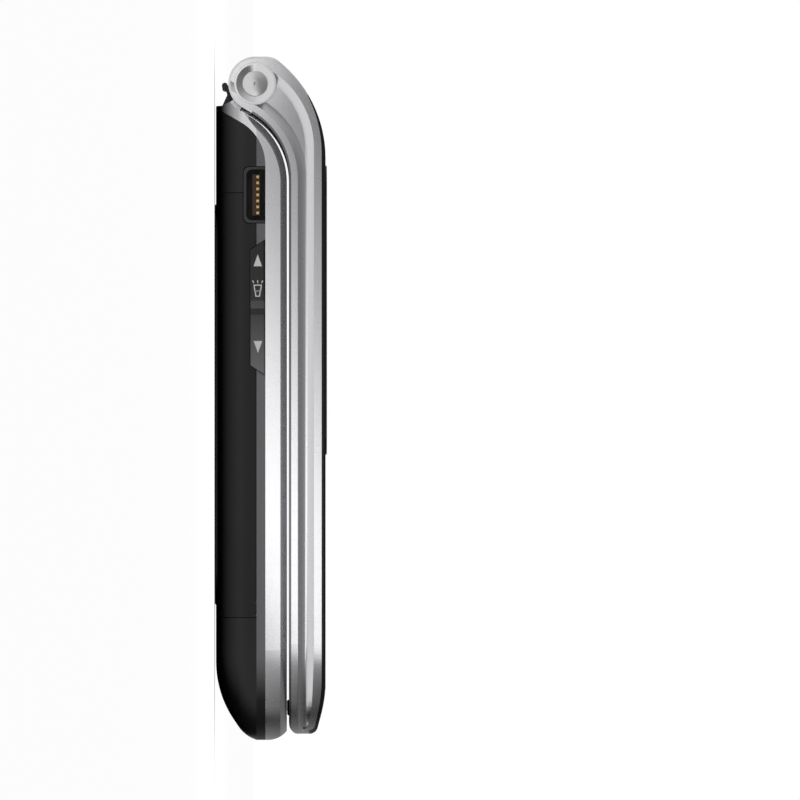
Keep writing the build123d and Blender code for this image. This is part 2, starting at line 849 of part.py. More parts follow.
scoop_low = barrel_radius - bezel_thickness
scoop_rise = scoop_cove_radius - sqrt(scoop_cove_radius**2 - (scoop_cove_radius - scoop_depth) ** 2)
scoop_fall = Vector(scoop_end_y - scoop_corner_y, scoop_end_z - scoop_top_z).normalized()
scoop_turn = acos(scoop_fall.X)
scoop_face = side_face(
    [
        (-far, bezel_top_z), flat(bezel_corner), flat(foot_point(scoop_low)), flat(hinge_point),
        (scoop_end_y - scoop_rise * scoop_fall.Y, scoop_end_z + scoop_rise * scoop_fall.X),
        (scoop_corner_y + scoop_rise * tan(scoop_turn / 2), scoop_top_z + scoop_rise),
        (-far, scoop_top_z + scoop_rise),
    ],
    [0, bend_radius + bezel_thickness, 0, 0, 0, scoop_bend_radius + scoop_rise, 0],
)
scoop_core = extrude(
    rounded_plan(
        half_width - scoop_depth, lid_free_y, crown_y + cover_thickness,
        corner_radius - scoop_depth / 2, 0,
    ),
    amount=far,
)
scoop = across(scoop_face) - scoop_core
scoop_roof = [face for face in scoop.faces() if face.normal_at(face.center()).Z > 0.2]
cove_edges = [
    edge for face in scoop_roof for edge in face.edges()
    if abs(edge.center().X) < half_width and edge.center().Y > lid_free_y - scoop_depth
]
scoop = fillet(cove_edges, scoop_cove_radius)
scoop_end = Pos(nose_end_y - far / 2, scoop_end_centre_z + far / 2) * Rectangle(far, far)
scoop_end -= Pos(nose_end_y, scoop_end_centre_z) * oval(
    lid_nose_length - scoop_end_margin, scoop_top_z - scoop_end_centre_z
)
scoop = scoop - across(scoop_end) - across(side_disc(ring_radius))
frame -= scoop
ring_seat = bar(half_width - ring_depth, half_width + 1, hinge_y, hinge_z, ring_radius)
frame -= ring_seat + mirror(ring_seat, Plane.YZ)
square_half = shaft_square / 2 + press_line
frame -= block(
    ear_face_x, ear_face_x + shaft_grip, hinge_y - square_half, hinge_y + square_half,
    hinge_z - square_half, hinge_z + square_half,
)
frame -= bar(
    -ear_face_x - journal_length - fit_gap, -ear_face_x, hinge_y, hinge_z,
    journal_radius + running_fit,
)
lid_frame = frame

# Outer cover of the lid, sunk for the raised window and open under it
window_y = (window_hinge_y + window_free_y) / 2
window_length = window_hinge_y - window_free_y
lid_cover = lid_solid & across(cover_region)
lid_cover -= tablet(
    0, window_y, lid_top_z - window_thickness, window_width + 2 * fit_gap,
    window_length + 2 * fit_gap, far, window_corner + fit_gap,
)
lid_cover -= tablet(
    0, window_y, lid_mid_z, window_width - 2 * window_ledge, window_length - 2 * window_ledge,
    far, window_corner - window_ledge / 2,
)
outer_window = tablet(
    0, window_y, lid_top_z - window_thickness, window_width, window_length, window_thickness,
    window_corner,
)
outer_window = chamfer(outer_window.edges().group_by(Axis.Z)[-1], window_step / 2)

# Inner bezel of the lid, with the lens pocket, the earpiece slot, the bumpers and the screw holes
lens_z = lid_face_z + lens_sink
bezel = lid_solid & across(bezel_region)
bezel -= tablet(
    0, lens_y, lid_face_z - 1, lens_width + 2 * fit_gap, lens_length + 2 * fit_gap,
    1 + lens_sink + lens_thickness, lens_corner + fit_gap,
)
bezel -= tablet(
    0, lens_y, lid_face_z - 1, lens_width - 2 * lens_ledge, lens_length - 2 * lens_ledge,
    far, lens_corner - lens_ledge / 2,
)
bezel -= tablet(
    0, earpiece_y, lid_face_z - 1, slot_width, slot_height, far, slot_height / 2 - press_line
)
bumper_spots = [(-bumper_x, bumper_y), (bumper_x, bumper_y)]
for x, y in bumper_spots:
    bezel -= post(x, y, lid_face_z - 1, bumper_radius + press_line, 1 + bumper_depth)
lid_screw_spots = [
    (x, y) for x in (-lid_screw_x, lid_screw_x) for y in (lid_screw_hinge_y, lid_screw_free_y)
]
lid_head_z = lid_face_z + fit_gap
for x, y in lid_screw_spots:
    bezel -= post(x, y, lid_face_z - 1, screw_radius + seam_gap, far)
    bezel -= post(
        x, y, lid_face_z - 1, screw_head_radius + fit_gap, 1 + fit_gap + screw_head_height
    )
lid_inner_bezel = bezel
inner_lens = tablet(0, lens_y, lens_z, lens_width, lens_length, lens_thickness, lens_corner)
inner_display = tablet(
    0, lens_y, bezel_top_z, display_width, display_length, display_thickness, display_corner
)
lid_board_z = bezel_top_z + display_thickness + fit_gap
lid_board = tablet(
    0, lens_y, lid_board_z, display_width, display_length, lid_board_thickness, display_corner
)
outer_display_z = lid_board_z + lid_board_thickness + fit_gap
outer_display = tablet(
    0, window_y, outer_display_z, outer_display_width, outer_display_length,
    cover_seam_z - press_line - outer_display_z, display_corner,
)
earpiece = tablet(
    0, earpiece_y, bezel_top_z + fit_gap, earpiece_width, earpiece_length, earpiece_height,
    speaker_corner,
)
lid_magnet = tablet(
    magnet_x, magnet_y, bezel_top_z + fit_gap, magnet_side, magnet_side, magnet_height,
    magnet_corner,
)
bumper_low_z = base_face_z + bumper_gap
lid_bumpers = []
for x, y in bumper_spots:
    bumper = post(x, y, bumper_low_z, bumper_radius, lid_face_z + bumper_depth - bumper_low_z)
    lid_bumpers.append(chamfer(bumper.edges().group_by(Axis.Z)[0], bumper_edge))


def screw(x, y, head_z, length):
    """Flat-headed screw in few faces, its head at the lower end."""
    body = extrude(
        Pos(x, y, head_z) * RegularPolygon(screw_head_radius, screw_sides), amount=screw_head_height
    )
    return body + extrude(Pos(x, y, head_z) * RegularPolygon(screw_radius, screw_sides), amount=length)


lid_screws = [
    screw(x, y, lid_head_z, bezel_thickness + lid_boss_height - screw_radius)
    for x, y in lid_screw_spots
]

# Conical rings and domed caps in the outer ends of the ears
ring_base_x = half_width - ring_depth
ring_outer = ring_radius - press_line
ring_profile = make_face(
    Polyline(
        (ring_bore, ring_base_x), (ring_outer, ring_base_x), (ring_outer, half_width),
        (ring_outer - ring_lip, half_width), (ring_bore, half_width - ring_cone_depth), close=True,
    ).edges()
)
cap_edge_x = ring_base_x + cap_edge_height
cap_profile = make_face(
    [
        Line((0, ring_base_x), (cap_radius, ring_base_x)),
        Line((cap_radius, ring_base_x), (cap_radius, cap_edge_x)),
        SagittaArc((cap_radius, cap_edge_x), (-cap_radius, cap_edge_x), -cap_crown),
        Line((-cap_radius, cap_edge_x), (-cap_radius, ring_base_x)),
        Line((-cap_radius, ring_base_x), (0, ring_base_x)),
    ]
)
cap_half = cap_profile & Pos(far / 2, 0) * Rectangle(far, far)


def about_hinge(profile):
    """Solid turned about the hinge axis from a profile of radius and X, and its mirror image."""
    solid = revolve(Plane.XY * profile, Axis.Y)
    placed = Pos(0, hinge_y, hinge_z) * Rot(0, 0, -90) * solid
    return [placed, mirror(placed, Plane.YZ)]


hinge_rings = about_hinge(ring_profile)
hinge_caps = about_hinge(cap_half)

# Spring unit, its shaft, the plain pivot and the rolled cable between them
barrel_fill = barrel_bore - press_line
unit_low_x = barrel_half - unit_length
hinge_unit = bar(unit_low_x, barrel_half, hinge_y, hinge_z, barrel_fill)
hinge_unit = chamfer(hinge_unit.edges().filter_by(GeomType.CIRCLE), fine_edge)
hinge_unit -= bar(unit_low_x + unit_end_wall, barrel_half, hinge_y, hinge_z, shaft_radius + running_fit)
hinge_shaft = bar(
    unit_low_x + unit_end_wall + seam_gap, ear_face_x + shaft_radius, hinge_y, hinge_z,
    shaft_radius,
)
shaft_end = block(
    ear_face_x + fit_gap, ear_face_x + shaft_grip - fit_gap, hinge_y - shaft_square / 2,
    hinge_y + shaft_square / 2, hinge_z - shaft_square / 2, hinge_z + shaft_square / 2,
)
hinge_shaft += chamfer(shaft_end.edges().group_by(Axis.X)[-1], small_edge)
bush_high_x = -barrel_half + bush_length
pivot_bush = bar(-barrel_half, bush_high_x, hinge_y, hinge_z, barrel_fill)
pivot_bush = chamfer(pivot_bush.edges().filter_by(GeomType.CIRCLE), fine_edge)
journal = bar(-ear_face_x - journal_length, -barrel_half, hinge_y, hinge_z, journal_radius)
pivot_bush += chamfer(journal.edges().group_by(Axis.X)[0], small_edge)
pivot_bush -= bar(-half_width, 0, hinge_y, hinge_z, journal_bore_radius)
flex_cable = bar(bush_high_x + fit_gap, unit_low_x - fit_gap, hinge_y, hinge_z, flex_radius)
flex_cable -= bar(-half_width, half_width, hinge_y, hinge_z, flex_radius - flex_wall)
flex_cable -= block(-far, far, hinge_y - flex_wall, hinge_y + flex_wall, hinge_z, far)

# Key plate and keys
number_names = ["1", "2", "3", "4", "5", "6", "7", "8", "9", "star", "0", "hash"]
key_spots = {
    "key_" + name: (
        number_pitch_x * (index % 3 - 1), number_top_y - number_pitch_y * (index // 3),
        number_key_width, number_key_height, number_corner,
    )
    for index, name in enumerate(number_names)
}
side_spots = {
    "call_key": (-side_key_x, call_key_y), "end_key": (side_key_x, call_key_y),
    "soft_left_key": (-side_key_x, soft_key_y), "soft_right_key": (side_key_x, soft_key_y),
}
for name, (x, y) in side_spots.items():
    key_spots[name] = (x, y, side_key_width, side_key_height, number_corner)

flange_top_z = plate_z - fit_gap
flange_low_z = dome_top_z + key_travel + press_line
key_top_z = plate_top_z + key_rise
keys = {}
for name, (x, y, width, length, corner) in key_spots.items():
    cap = tablet(x, y, flange_low_z, width, length, key_top_z - flange_low_z, corner)
    cap = chamfer(cap.edges().group_by(Axis.Z)[-1], key_edge)
    keys[name] = cap + block(
        x - width / 2 - key_flange, x + width / 2 + key_flange, y - length / 2 - key_flange,
        y + length / 2 + key_flange, flange_low_z, flange_top_z,
    )

nav_rocker = post(0, nav_y, flange_low_z, nav_radius, key_top_z - flange_low_z)
nav_rocker -= post(0, nav_y, 0, nav_bore, far)
nav_rocker = chamfer(nav_rocker.edges().group_by(Axis.Z)[-1], key_edge)
nav_flange = post(
    0, nav_y, flange_low_z, nav_radius + key_flange, flange_top_z - nav_tilt_room - flange_low_z
)
nav_rocker += nav_flange - post(0, nav_y, 0, nav_bore, far)
ok_key = post(0, nav_y, flange_low_z, ok_radius, key_top_z - flange_low_z)
ok_key = chamfer(ok_key.edges().group_by(Axis.Z)[-1], key_edge)
ok_key += post(0, nav_y, flange_low_z, ok_radius + ok_foot, foot_height)

keypad_plate = extrude(
    rounded_plan(
        plate_half - fit_gap, plate_free_y + fit_gap, plate_hinge_y - fit_gap,
        plate_radius - fit_gap, plate_corner, plate_z,
    ),
    amount=plate_thickness,
)
for x, y, width, length, corner in key_spots.values():
    keypad_plate -= tablet(
        x, y, 0, width + 2 * key_side_gap, length + 2 * key_side_gap, far, corner + key_side_gap
    )
keypad_plate -= post(0, nav_y, 0, nav_radius + key_side_gap, far)
keypad_plate -= post(0, microphone_y, 0, microphone_hole_radius, far)

# Board with its key domes, cut out round the two sockets
board_half = plate_half - frame_ledge - board_gap
board_low_y = plate_free_y + frame_ledge + board_gap
board_high_y = plate_hinge_y - frame_ledge - board_gap
board_plan = rounded_plan(
    board_half, board_low_y, board_high_y, plate_radius - frame_ledge, board_corner, floor_top_z
)
main_board = extrude(board_plan, amount=board_thickness)
socket_low_y = socket_y - socket_length / 2 - socket_rim
main_board -= block(-far, socket_back_x + board_gap, socket_low_y - board_gap, far, 0, far)
jack_low_y = jack_y - jack_body_width / 2
main_board -= block(jack_inner_x - board_gap, far, jack_low_y - board_gap, far, 0, far)
for x, y in screw_spots:
    main_board -= post(x, y, 0, screw_radius + board_gap, far)
sheet_low_y = number_top_y - 3 * number_pitch_y - number_key_height / 2
sheet_high_y = soft_key_y + side_key_height / 2
keypad_domes = tablet(
    0, (sheet_low_y + sheet_high_y) / 2, board_top_z, 2 * (side_key_x + side_key_width / 2),
    sheet_high_y - sheet_low_y, dome_height, number_corner,
)
microphone = post(0, microphone_y, board_top_z, microphone_radius, microphone_height)

# Side rocker with its groove, and the two-way switch behind it
rocker = extrude(
    side_plane(-half_width - rocker_proud) * side_rocker_outline(), amount=rocker_proud + rocker_depth
)
rocker &= block(-far, far, -far, far, 0, seam_z - seam_gap)
rocker = fillet(rocker.faces().sort_by(Axis.X)[0].edges(), rocker_edge)
rocker_face_x = -half_width - rocker_proud
rocker -= block(
    rocker_face_x, rocker_face_x + rocker_groove_depth, rocker_groove_y - rocker_groove_width / 2,
    rocker_groove_y + rocker_groove_width / 2, 0, far,
)
side_rocker = rocker
rocker_y = (rocker_hinge_y + rocker_free_y) / 2
switch_x = -half_width + rocker_depth + switch_room - press_line
switch_low_z = floor_z - switch_low_step
switch_high_z = seam_z - seam_gap
side_switch = block(
    switch_x - switch_thickness, switch_x, rocker_y - switch_length / 2,
    rocker_y + switch_length / 2, switch_low_z, switch_high_z,
)
for side in (-1, 1):
    side_switch += bar(
        switch_x - switch_thickness - switch_bump, switch_x, rocker_y + side * switch_bump_reach,
        (switch_low_z + switch_high_z) / 2, switch_bump_radius,
    )

# Charging socket: shell flush with the side, tongue and contacts
socket_body = extrude(
    side_plane(-far) * socket_outline(socket_rim), amount=far + socket_back_x
)
socket_body -= extrude(
    side_plane(-far) * socket_outline(), amount=far + socket_back_x - socket_back_wall
)
socket_body &= pan(0, seam_z - fit_gap)
charging_socket = socket_body
socket_tongue = block(
    -half_width + tongue_setback, socket_back_x - socket_back_wall, socket_y - tongue_length / 2,
    socket_y + tongue_length / 2, tongue_low_z, tongue_low_z + tongue_height,
)
contact_ys = [
    socket_y + contact_pitch * (index - (contact_count - 1) / 2) for index in range(contact_count)
]
contact_row_z = tongue_low_z + contact_rise
contact_end_x = socket_back_x - 2 * socket_back_wall
for y in contact_ys:
    half = contact_side / 2 + press_line
    socket_tongue -= block(
        -far, contact_end_x, y - half, y + half, contact_row_z - half, contact_row_z + half
    )
socket_contacts = [
    block(
        -half_width + tongue_setback - contact_proud, contact_end_x - press_line,
        y - contact_side / 2, y + contact_side / 2, contact_row_z - contact_side / 2,
        contact_row_z + contact_side / 2,
    )
    for y in contact_ys
]

# Headphone socket and the spring contacts in its mouth
jack_face_x = half_width - jack_front_wall - fit_gap
headphone_socket = block(
    jack_inner_x + fit_gap, jack_face_x, jack_low_y, jack_low_y + jack_body_width,
    jack_z - jack_body_height / 2, seam_z - fit_gap,
)
headphone_socket = chamfer(headphone_socket.edges().group_by(Axis.X)[0], small_edge)
headphone_socket -= bar(jack_inner_x + jack_back_wall, half_width, jack_y, jack_z, jack_bore_radius)
headphone_contacts = [
    block(
        jack_face_x + press_line, half_width - leaf_setback, jack_y + side * leaf_low,
        jack_y + side * leaf_high, jack_z - leaf_half, jack_z + leaf_half,
    )
    for side in (-1, 1)
]

# Camera, lamp, sound and motor at the two ends of the housing
inner_floor_z = skin_z + housing_wall + fit_gap
camera_module = tablet(
    camera_x, camera_y, inner_floor_z, camera_side, camera_side, camera_height, plate_corner
)
camera_module += post(
    camera_x, camera_y, inner_floor_z - camera_barrel,
    camera_window_radius - camera_window_ledge - seam_gap, camera_barrel,
)
camera_window = post(
    camera_x, camera_y, skin_z + fit_gap, camera_window_radius, camera_window_depth - fit_gap
)
torch_lamp = post(torch_x, camera_y, skin_z + fit_gap, torch_radius, housing_wall + torch_flange)
torch_lamp += post(torch_x, camera_y, inner_floor_z, torch_radius + torch_flange, torch_flange)
torch_lamp = chamfer(torch_lamp.edges().group_by(Axis.Z)[0], fine_edge)
loudspeaker = tablet(
    speaker_x, speaker_y, floor_top_z - fit_gap - speaker_height, speaker_width, speaker_length,
    speaker_height, speaker_corner,
)
vibration_motor = post(
    motor_x, motor_y, floor_top_z - fit_gap - motor_height, motor_radius, motor_height
)
base_screws = [
    screw(x, y, floor_z - screw_head_height, plate_z - floor_z + screw_head_height - seam_gap)
    for x, y in screw_spots
]

pieces = {
    "rear_housing": rear_housing,
    "battery_cover": battery_cover,
    "front_frame": front_frame,
    "hinge_cover": hinge_cover,
    "battery": battery,
    "battery_contacts": battery_contacts,
    "sim_tray": sim_tray,
    "side_rocker": side_rocker,
    "side_switch": side_switch,
    "charging_socket": charging_socket,
    "socket_tongue": socket_tongue,
    "socket_contacts": socket_contacts,
    "headphone_socket": headphone_socket,
    "headphone_contacts": headphone_contacts,
    "keypad_plate": keypad_plate,
    "nav_rocker": nav_rocker,
    "ok_key": ok_key,
    "keypad_domes": keypad_domes,
    "main_board": main_board,
    "loudspeaker": loudspeaker,
    "vibration_motor": vibration_motor,
    "microphone": microphone,
    "camera_module": camera_module,
    "camera_window": camera_window,
    "torch_lamp": torch_lamp,
    "hinge_unit": hinge_unit,
    "pivot_bush": pivot_bush,
    "flex_cable": flex_cable,
    "base_screws": base_screws,
    "lid_frame": lid_frame,
    "lid_inner_bezel": lid_inner_bezel,
    "lid_cover": lid_cover,
    "outer_window": outer_window,
    "hinge_rings": hinge_rings,
    "hinge_caps": hinge_caps,
    "lid_bumpers": lid_bumpers,
    "hinge_shaft": hinge_shaft,
    "inner_display": inner_display,
    "inner_lens": inner_lens,
    "outer_display": outer_display,
    "lid_board": lid_board,
    "earpiece": earpiece,
    "lid_magnet": lid_magnet,
    "lid_screws": lid_screws,
} | keys

os.makedirs("parts", exist_ok=True)
for name, piece in pieces.items():
    solids = ShapeList(piece).solids() if isinstance(piece, list) else piece.solids()
    export_step(Compound(children=solids), "parts/" + name + ".step")
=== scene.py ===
# %% [markdown]
# # A folding phone, closed, lying on its back
#
# This notebook dresses a folding phone. Its working parts come from a CAD model: two shells that
# turn on a hinge, keys that press, a rocker on the side. Here each part gets the surface that the
# real one has, and the marks, screws, ribs, net and lens that the CAD model leaves out are added.
# X runs across the width, +Y points to the hinge and +Z to the outside of the lid. Sizes are
# metres.

# %% Load the frame
import math

import bmesh
import bpy
from mathutils import Matrix, Vector


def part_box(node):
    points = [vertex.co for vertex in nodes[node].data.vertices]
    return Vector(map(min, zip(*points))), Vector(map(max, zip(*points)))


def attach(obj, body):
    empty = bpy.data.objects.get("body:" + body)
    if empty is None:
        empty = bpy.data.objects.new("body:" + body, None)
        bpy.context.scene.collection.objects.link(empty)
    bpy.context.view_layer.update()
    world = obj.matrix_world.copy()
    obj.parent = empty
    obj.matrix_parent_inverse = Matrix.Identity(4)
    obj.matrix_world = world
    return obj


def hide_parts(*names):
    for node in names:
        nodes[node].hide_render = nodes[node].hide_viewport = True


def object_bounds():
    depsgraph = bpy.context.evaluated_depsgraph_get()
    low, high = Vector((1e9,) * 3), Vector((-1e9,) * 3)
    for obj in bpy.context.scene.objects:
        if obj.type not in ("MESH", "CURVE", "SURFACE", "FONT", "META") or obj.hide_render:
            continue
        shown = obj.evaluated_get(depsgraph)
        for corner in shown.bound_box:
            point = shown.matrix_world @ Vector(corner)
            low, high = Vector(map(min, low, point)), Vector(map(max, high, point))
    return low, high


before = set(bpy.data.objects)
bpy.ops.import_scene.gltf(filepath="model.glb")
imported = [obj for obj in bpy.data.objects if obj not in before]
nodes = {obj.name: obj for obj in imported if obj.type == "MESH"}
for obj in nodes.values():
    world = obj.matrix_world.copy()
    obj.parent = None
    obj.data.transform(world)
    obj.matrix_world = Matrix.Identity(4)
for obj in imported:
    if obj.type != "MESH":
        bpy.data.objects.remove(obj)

for spare in ("Cube", "Light", "Camera"):
    if spare in bpy.data.objects:
        bpy.data.objects.remove(bpy.data.objects[spare])
cad_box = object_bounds()

# %% [markdown]
# ## Small tools
#
# Everything below is made as it would be by hand: a primitive is added, shaped in edit mode, and
# then settled. A few helpers keep the cells short. One clears the selection, because an operator
# acts on all that is selected. One picks faces by their place or direction, and one draws them
# out. A face counts as looking up when the upward part of its normal is above nine tenths. The
# last applies the modifiers and the placing, and tells the frame which body the piece rides on.

# %% Helpers for selecting
MM = 0.001
FACING = 0.9


def free_hands():
    """Deselects every object, in object mode, before a primitive is added."""
    if bpy.context.object is not None and bpy.context.object.mode != "OBJECT":
        bpy.ops.object.mode_set(mode="OBJECT")
    bpy.ops.object.select_all(action="DESELECT")


def only(piece):
    """Leaves one object selected and active, in object mode."""
    free_hands()
    piece.select_set(True)
    bpy.context.view_layer.objects.active = piece


def edit_faces(piece, wanted):
    """Enters edit mode with those faces selected for which wanted(centre, normal) is true."""
    only(piece)
    bpy.ops.object.mode_set(mode="EDIT")
    bpy.ops.mesh.select_mode(type="FACE")
    bpy.ops.mesh.select_all(action="DESELECT")
    mesh = bmesh.from_edit_mesh(piece.data)
    for face in mesh.faces:
        face.select_set(wanted(face.calc_center_median(), face.normal))
    bmesh.update_edit_mesh(piece.data)


def every(centre, normal):
    """True for every face."""
    return True


def upward(centre, normal):
    """True for a face that looks up."""
    return normal.z > FACING


def downward(centre, normal):
    """True for a face that looks down."""
    return normal.z < -FACING


def level(centre, normal):
    """True for a face that looks up or down."""
    return abs(normal.z) > FACING


# %% Helpers for shaping and settling
def pull(x, y, z):
    """Extrudes the selected faces by an offset."""
    bpy.ops.mesh.extrude_region_move(TRANSFORM_OT_translate={"value": (x, y, z)})


def resize(piece, x, y, z=1):
    """Scales the active object and applies the scale."""
    piece.scale = (x, y, z)
    bpy.ops.object.transform_apply(location=False, rotation=False, scale=True)


def settle(piece, name, body, material, smooth=30):
    """Applies modifiers and placing, names the piece and lets it ride on a body."""
    only(piece)
    for modifier in list(piece.modifiers):
        bpy.ops.object.modifier_apply(modifier=modifier.name)
    bpy.ops.object.transform_apply(location=True, rotation=True, scale=True)
    bpy.ops.object.mode_set(mode="EDIT")
    bpy.ops.mesh.select_all(action="SELECT")
    bpy.ops.mesh.remove_doubles(threshold=0.001 * MM)
    bpy.ops.mesh.normals_make_consistent(inside=False)
    bpy.ops.object.mode_set(mode="OBJECT")
    bpy.ops.object.shade_smooth_by_angle(angle=math.radians(smooth))
    piece.name = name
    piece.data.name = name
    piece.data.materials.clear()
    piece.data.materials.append(material)
    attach(piece, body)
    print(name, "rides on", body, "faces:", len(piece.data.polygons))
    return piece


def merge(pieces):
    """Joins several objects into the first one."""
    only(pieces[0])
    for piece in pieces[1:]:
        piece.select_set(True)
    bpy.ops.object.join()
    return pieces[0]


def copy_to(piece, offset):
    """Copy with its own mesh, moved by an offset."""
    twin = piece.copy()
    twin.data = piece.data.copy()
    twin.location = piece.location + Vector(offset)
    bpy.context.scene.collection.objects.link(twin)
    return twin


# %% [markdown]
# ## Effects that several finishes share
#
# Real plastic and paint are never one even value. Moulded plastic keeps the fine spark texture of
# its tool, lacquer has tiny flakes in it, and every surface carries faint smears where hands touch
# it. Each effect is a node group that is built once. A group gives out only a height, a value or a
# colour. The shader stays in the material, where each finish sets its own plain numbers.

# %% Node group helpers
def new_group(name, inputs, outputs):
    """Empty shader group with float, vector or colour sockets."""
    kinds = {"f": "NodeSocketFloat", "v": "NodeSocketVector", "c": "NodeSocketColor"}
    group = bpy.data.node_groups.new(name, "ShaderNodeTree")
    for label, kind in inputs:
        group.interface.new_socket(name=label, in_out="INPUT", socket_type=kinds[kind])
    for label, kind in outputs:
        group.interface.new_socket(name=label, in_out="OUTPUT", socket_type=kinds[kind])
    return group, group.nodes.new("NodeGroupInput"), group.nodes.new("NodeGroupOutput")


def feed(tree, socket, value):
    """Links a socket to another one, or gives it a plain value."""
    if isinstance(value, bpy.types.NodeSocket):
        tree.links.new(value, socket)
    else:
        socket.default_value = value


def math_node(tree, operation, first, second=0.0, third=0.0, clamp=False):
    """Math node fed by sockets or plain numbers."""
    node = tree.nodes.new("ShaderNodeMath")
    node.operation = operation
    node.use_clamp = clamp
    for socket, value in zip(node.inputs, (first, second, third)):
        feed(tree, socket, value)
    return node.outputs[0]


def noise_node(tree, vector, scale, detail=2.0):
    """Noise value at a scale that is a number or a socket."""
    node = tree.nodes.new("ShaderNodeTexNoise")
    node.inputs["Detail"].default_value = detail
    tree.links.new(vector, node.inputs["Vector"])
    feed(tree, node.inputs["Scale"], scale)
    return node.outputs[0]


def range_node(tree, value, low, high, smooth=False):
    """Value from low to high brought onto 0 to 1, evenly or as a smooth step."""
    node = tree.nodes.new("ShaderNodeMapRange")
    node.interpolation_type = "SMOOTHSTEP" if smooth else "LINEAR"
    node.inputs["From Min"].default_value = low
    node.inputs["From Max"].default_value = high
    tree.links.new(value, node.inputs["Value"])
    return node.outputs[0]


def mix_node(tree, factor, first, second, colours=True):
    """Mix of two colours, or of two values, that are sockets or plain."""
    node = tree.nodes.new("ShaderNodeMix")
    node.data_type = "RGBA" if colours else "FLOAT"
    tree.links.new(factor, node.inputs["Factor"])
    feed(tree, node.inputs["A"], first)
    feed(tree, node.inputs["B"], second)
    return node.outputs["Result"]


# %% Grain, smears and tint
WIDE_SMEARS, FINE_SMEARS, SMEAR_RANGE = 90.0, 900.0, (0.35, 0.65)
grain, grain_in, grain_out = new_group(
    "fine_grain", [("Vector", "v"), ("Scale", "f")], [("Height", "f")]
)
coarse = noise_node(grain, grain_in.outputs["Vector"], grain_in.outputs["Scale"], 3.0)
cells = grain.nodes.new("ShaderNodeTexVoronoi")
grain.links.new(grain_in.outputs["Vector"], cells.inputs["Vector"])
grain.links.new(grain_in.outputs["Scale"], cells.inputs["Scale"])
height = math_node(grain, "MULTIPLY_ADD", cells.outputs["Distance"], 0.5, coarse)
grain.links.new(height, grain_out.inputs["Height"])

smears, smears_in, smears_out = new_group(
    "hand_smears", [("Vector", "v"), ("Low", "f"), ("High", "f")], [("Value", "f")]
)
wide = noise_node(smears, smears_in.outputs["Vector"], WIDE_SMEARS, 4.0)
fine = noise_node(smears, smears_in.outputs["Vector"], FINE_SMEARS)
blend = math_node(smears, "MULTIPLY", math_node(smears, "ADD", wide, fine), 0.5)
spread = range_node(smears, blend, *SMEAR_RANGE)
smears.links.new(smears_in.outputs["Low"], spread.node.inputs["To Min"])
smears.links.new(smears_in.outputs["High"], spread.node.inputs["To Max"])
smears.links.new(spread, smears_out.inputs["Value"])

tint, tint_in, tint_out = new_group(
    "uneven_tint", [("Vector", "v"), ("Scale", "f"), ("Deep", "c"), ("Light", "c")],
    [("Color", "c")],
)
patches = noise_node(tint, tint_in.outputs["Vector"], tint_in.outputs["Scale"], 3.0)
mixed = mix_node(tint, patches, tint_in.outputs["Deep"], tint_in.outputs["Light"])
tint.links.new(mixed, tint_out.inputs["Color"])
print("groups:", [group.name for group in bpy.data.node_groups])

# %% [markdown]
# ## One recipe for a finish
#
# A finish is a colour that wanders a little, a roughness that wanders with the smears, and a grain
# in the surface at its real scale, a tenth of a millimetre or less. The recipe places the three
# groups and sets the shader's own sockets. A finish that needs more, such as the rocker with its
# painted light and shade or the printed lens, takes the same recipe and adds its own nodes.

# %% The recipe
TINT_SCALE = 160.0
GRAIN_STRENGTH = 0.5


def group_node(tree, group, **values):
    """Places a group, feeds its inputs and gives its output."""
    node = tree.nodes.new("ShaderNodeGroup")
    node.node_tree = group
    for label, value in values.items():
        feed(tree, node.inputs[label], value)
    return node.outputs[0]


def bump_node(tree, height, strength, distance):
    """Normal that leans with a height, as deep as the distance."""
    node = tree.nodes.new("ShaderNodeBump")
    node.inputs["Strength"].default_value = strength
    node.inputs["Distance"].default_value = distance
    tree.links.new(height, node.inputs["Height"])
    return node.outputs["Normal"]


def finish(name, colour, shift, rough, grain_size, grain_depth, **sockets):
    """Material from a linear colour, its uneven share, a roughness range and a grain in mm."""
    material = bpy.data.materials.new(name)
    material.use_nodes = True
    tree = material.node_tree
    shader = tree.nodes["Principled BSDF"]
    place = tree.nodes.new("ShaderNodeTexCoord").outputs["Object"]
    deep = [value * (1 - shift) for value in colour] + [1.0]
    light = [min(1.0, value * (1 + shift)) for value in colour] + [1.0]
    shade = group_node(tree, tint, Vector=place, Scale=TINT_SCALE, Deep=deep, Light=light)
    gloss = group_node(tree, smears, Vector=place, Low=rough[0], High=rough[1])
    relief = group_node(tree, grain, Vector=place, Scale=1.0 / (grain_size * MM))
    bump = bump_node(tree, relief, GRAIN_STRENGTH, grain_depth * MM)
    tree.links.new(shade, shader.inputs["Base Color"])
    tree.links.new(gloss, shader.inputs["Roughness"])
    tree.links.new(bump, shader.inputs["Normal"])
    for label, value in sockets.items():
        shader.inputs[label.replace("_", " ")].default_value = value
    return material


def parts_of(material):
    """Tree, shader and Object coordinates of a finish."""
    tree = material.node_tree
    shader = tree.nodes["Principled BSDF"]
    place = next(node for node in tree.nodes if node.type == "TEX_COORD").outputs["Object"]
    return tree, shader, place


# %% [markdown]
# ## The finishes of the phone
#
# Both rims are moulded plastic with a silver lacquer, so they shine like metal but a little
# blurred. The back and the lid are black: the back is satin, the lid's window is a polished panel.
# The rings and caps of the hinge are bright chrome. Inside are rubber, gold, steel, circuit board
# and film. Each gets its own colour, roughness and grain.

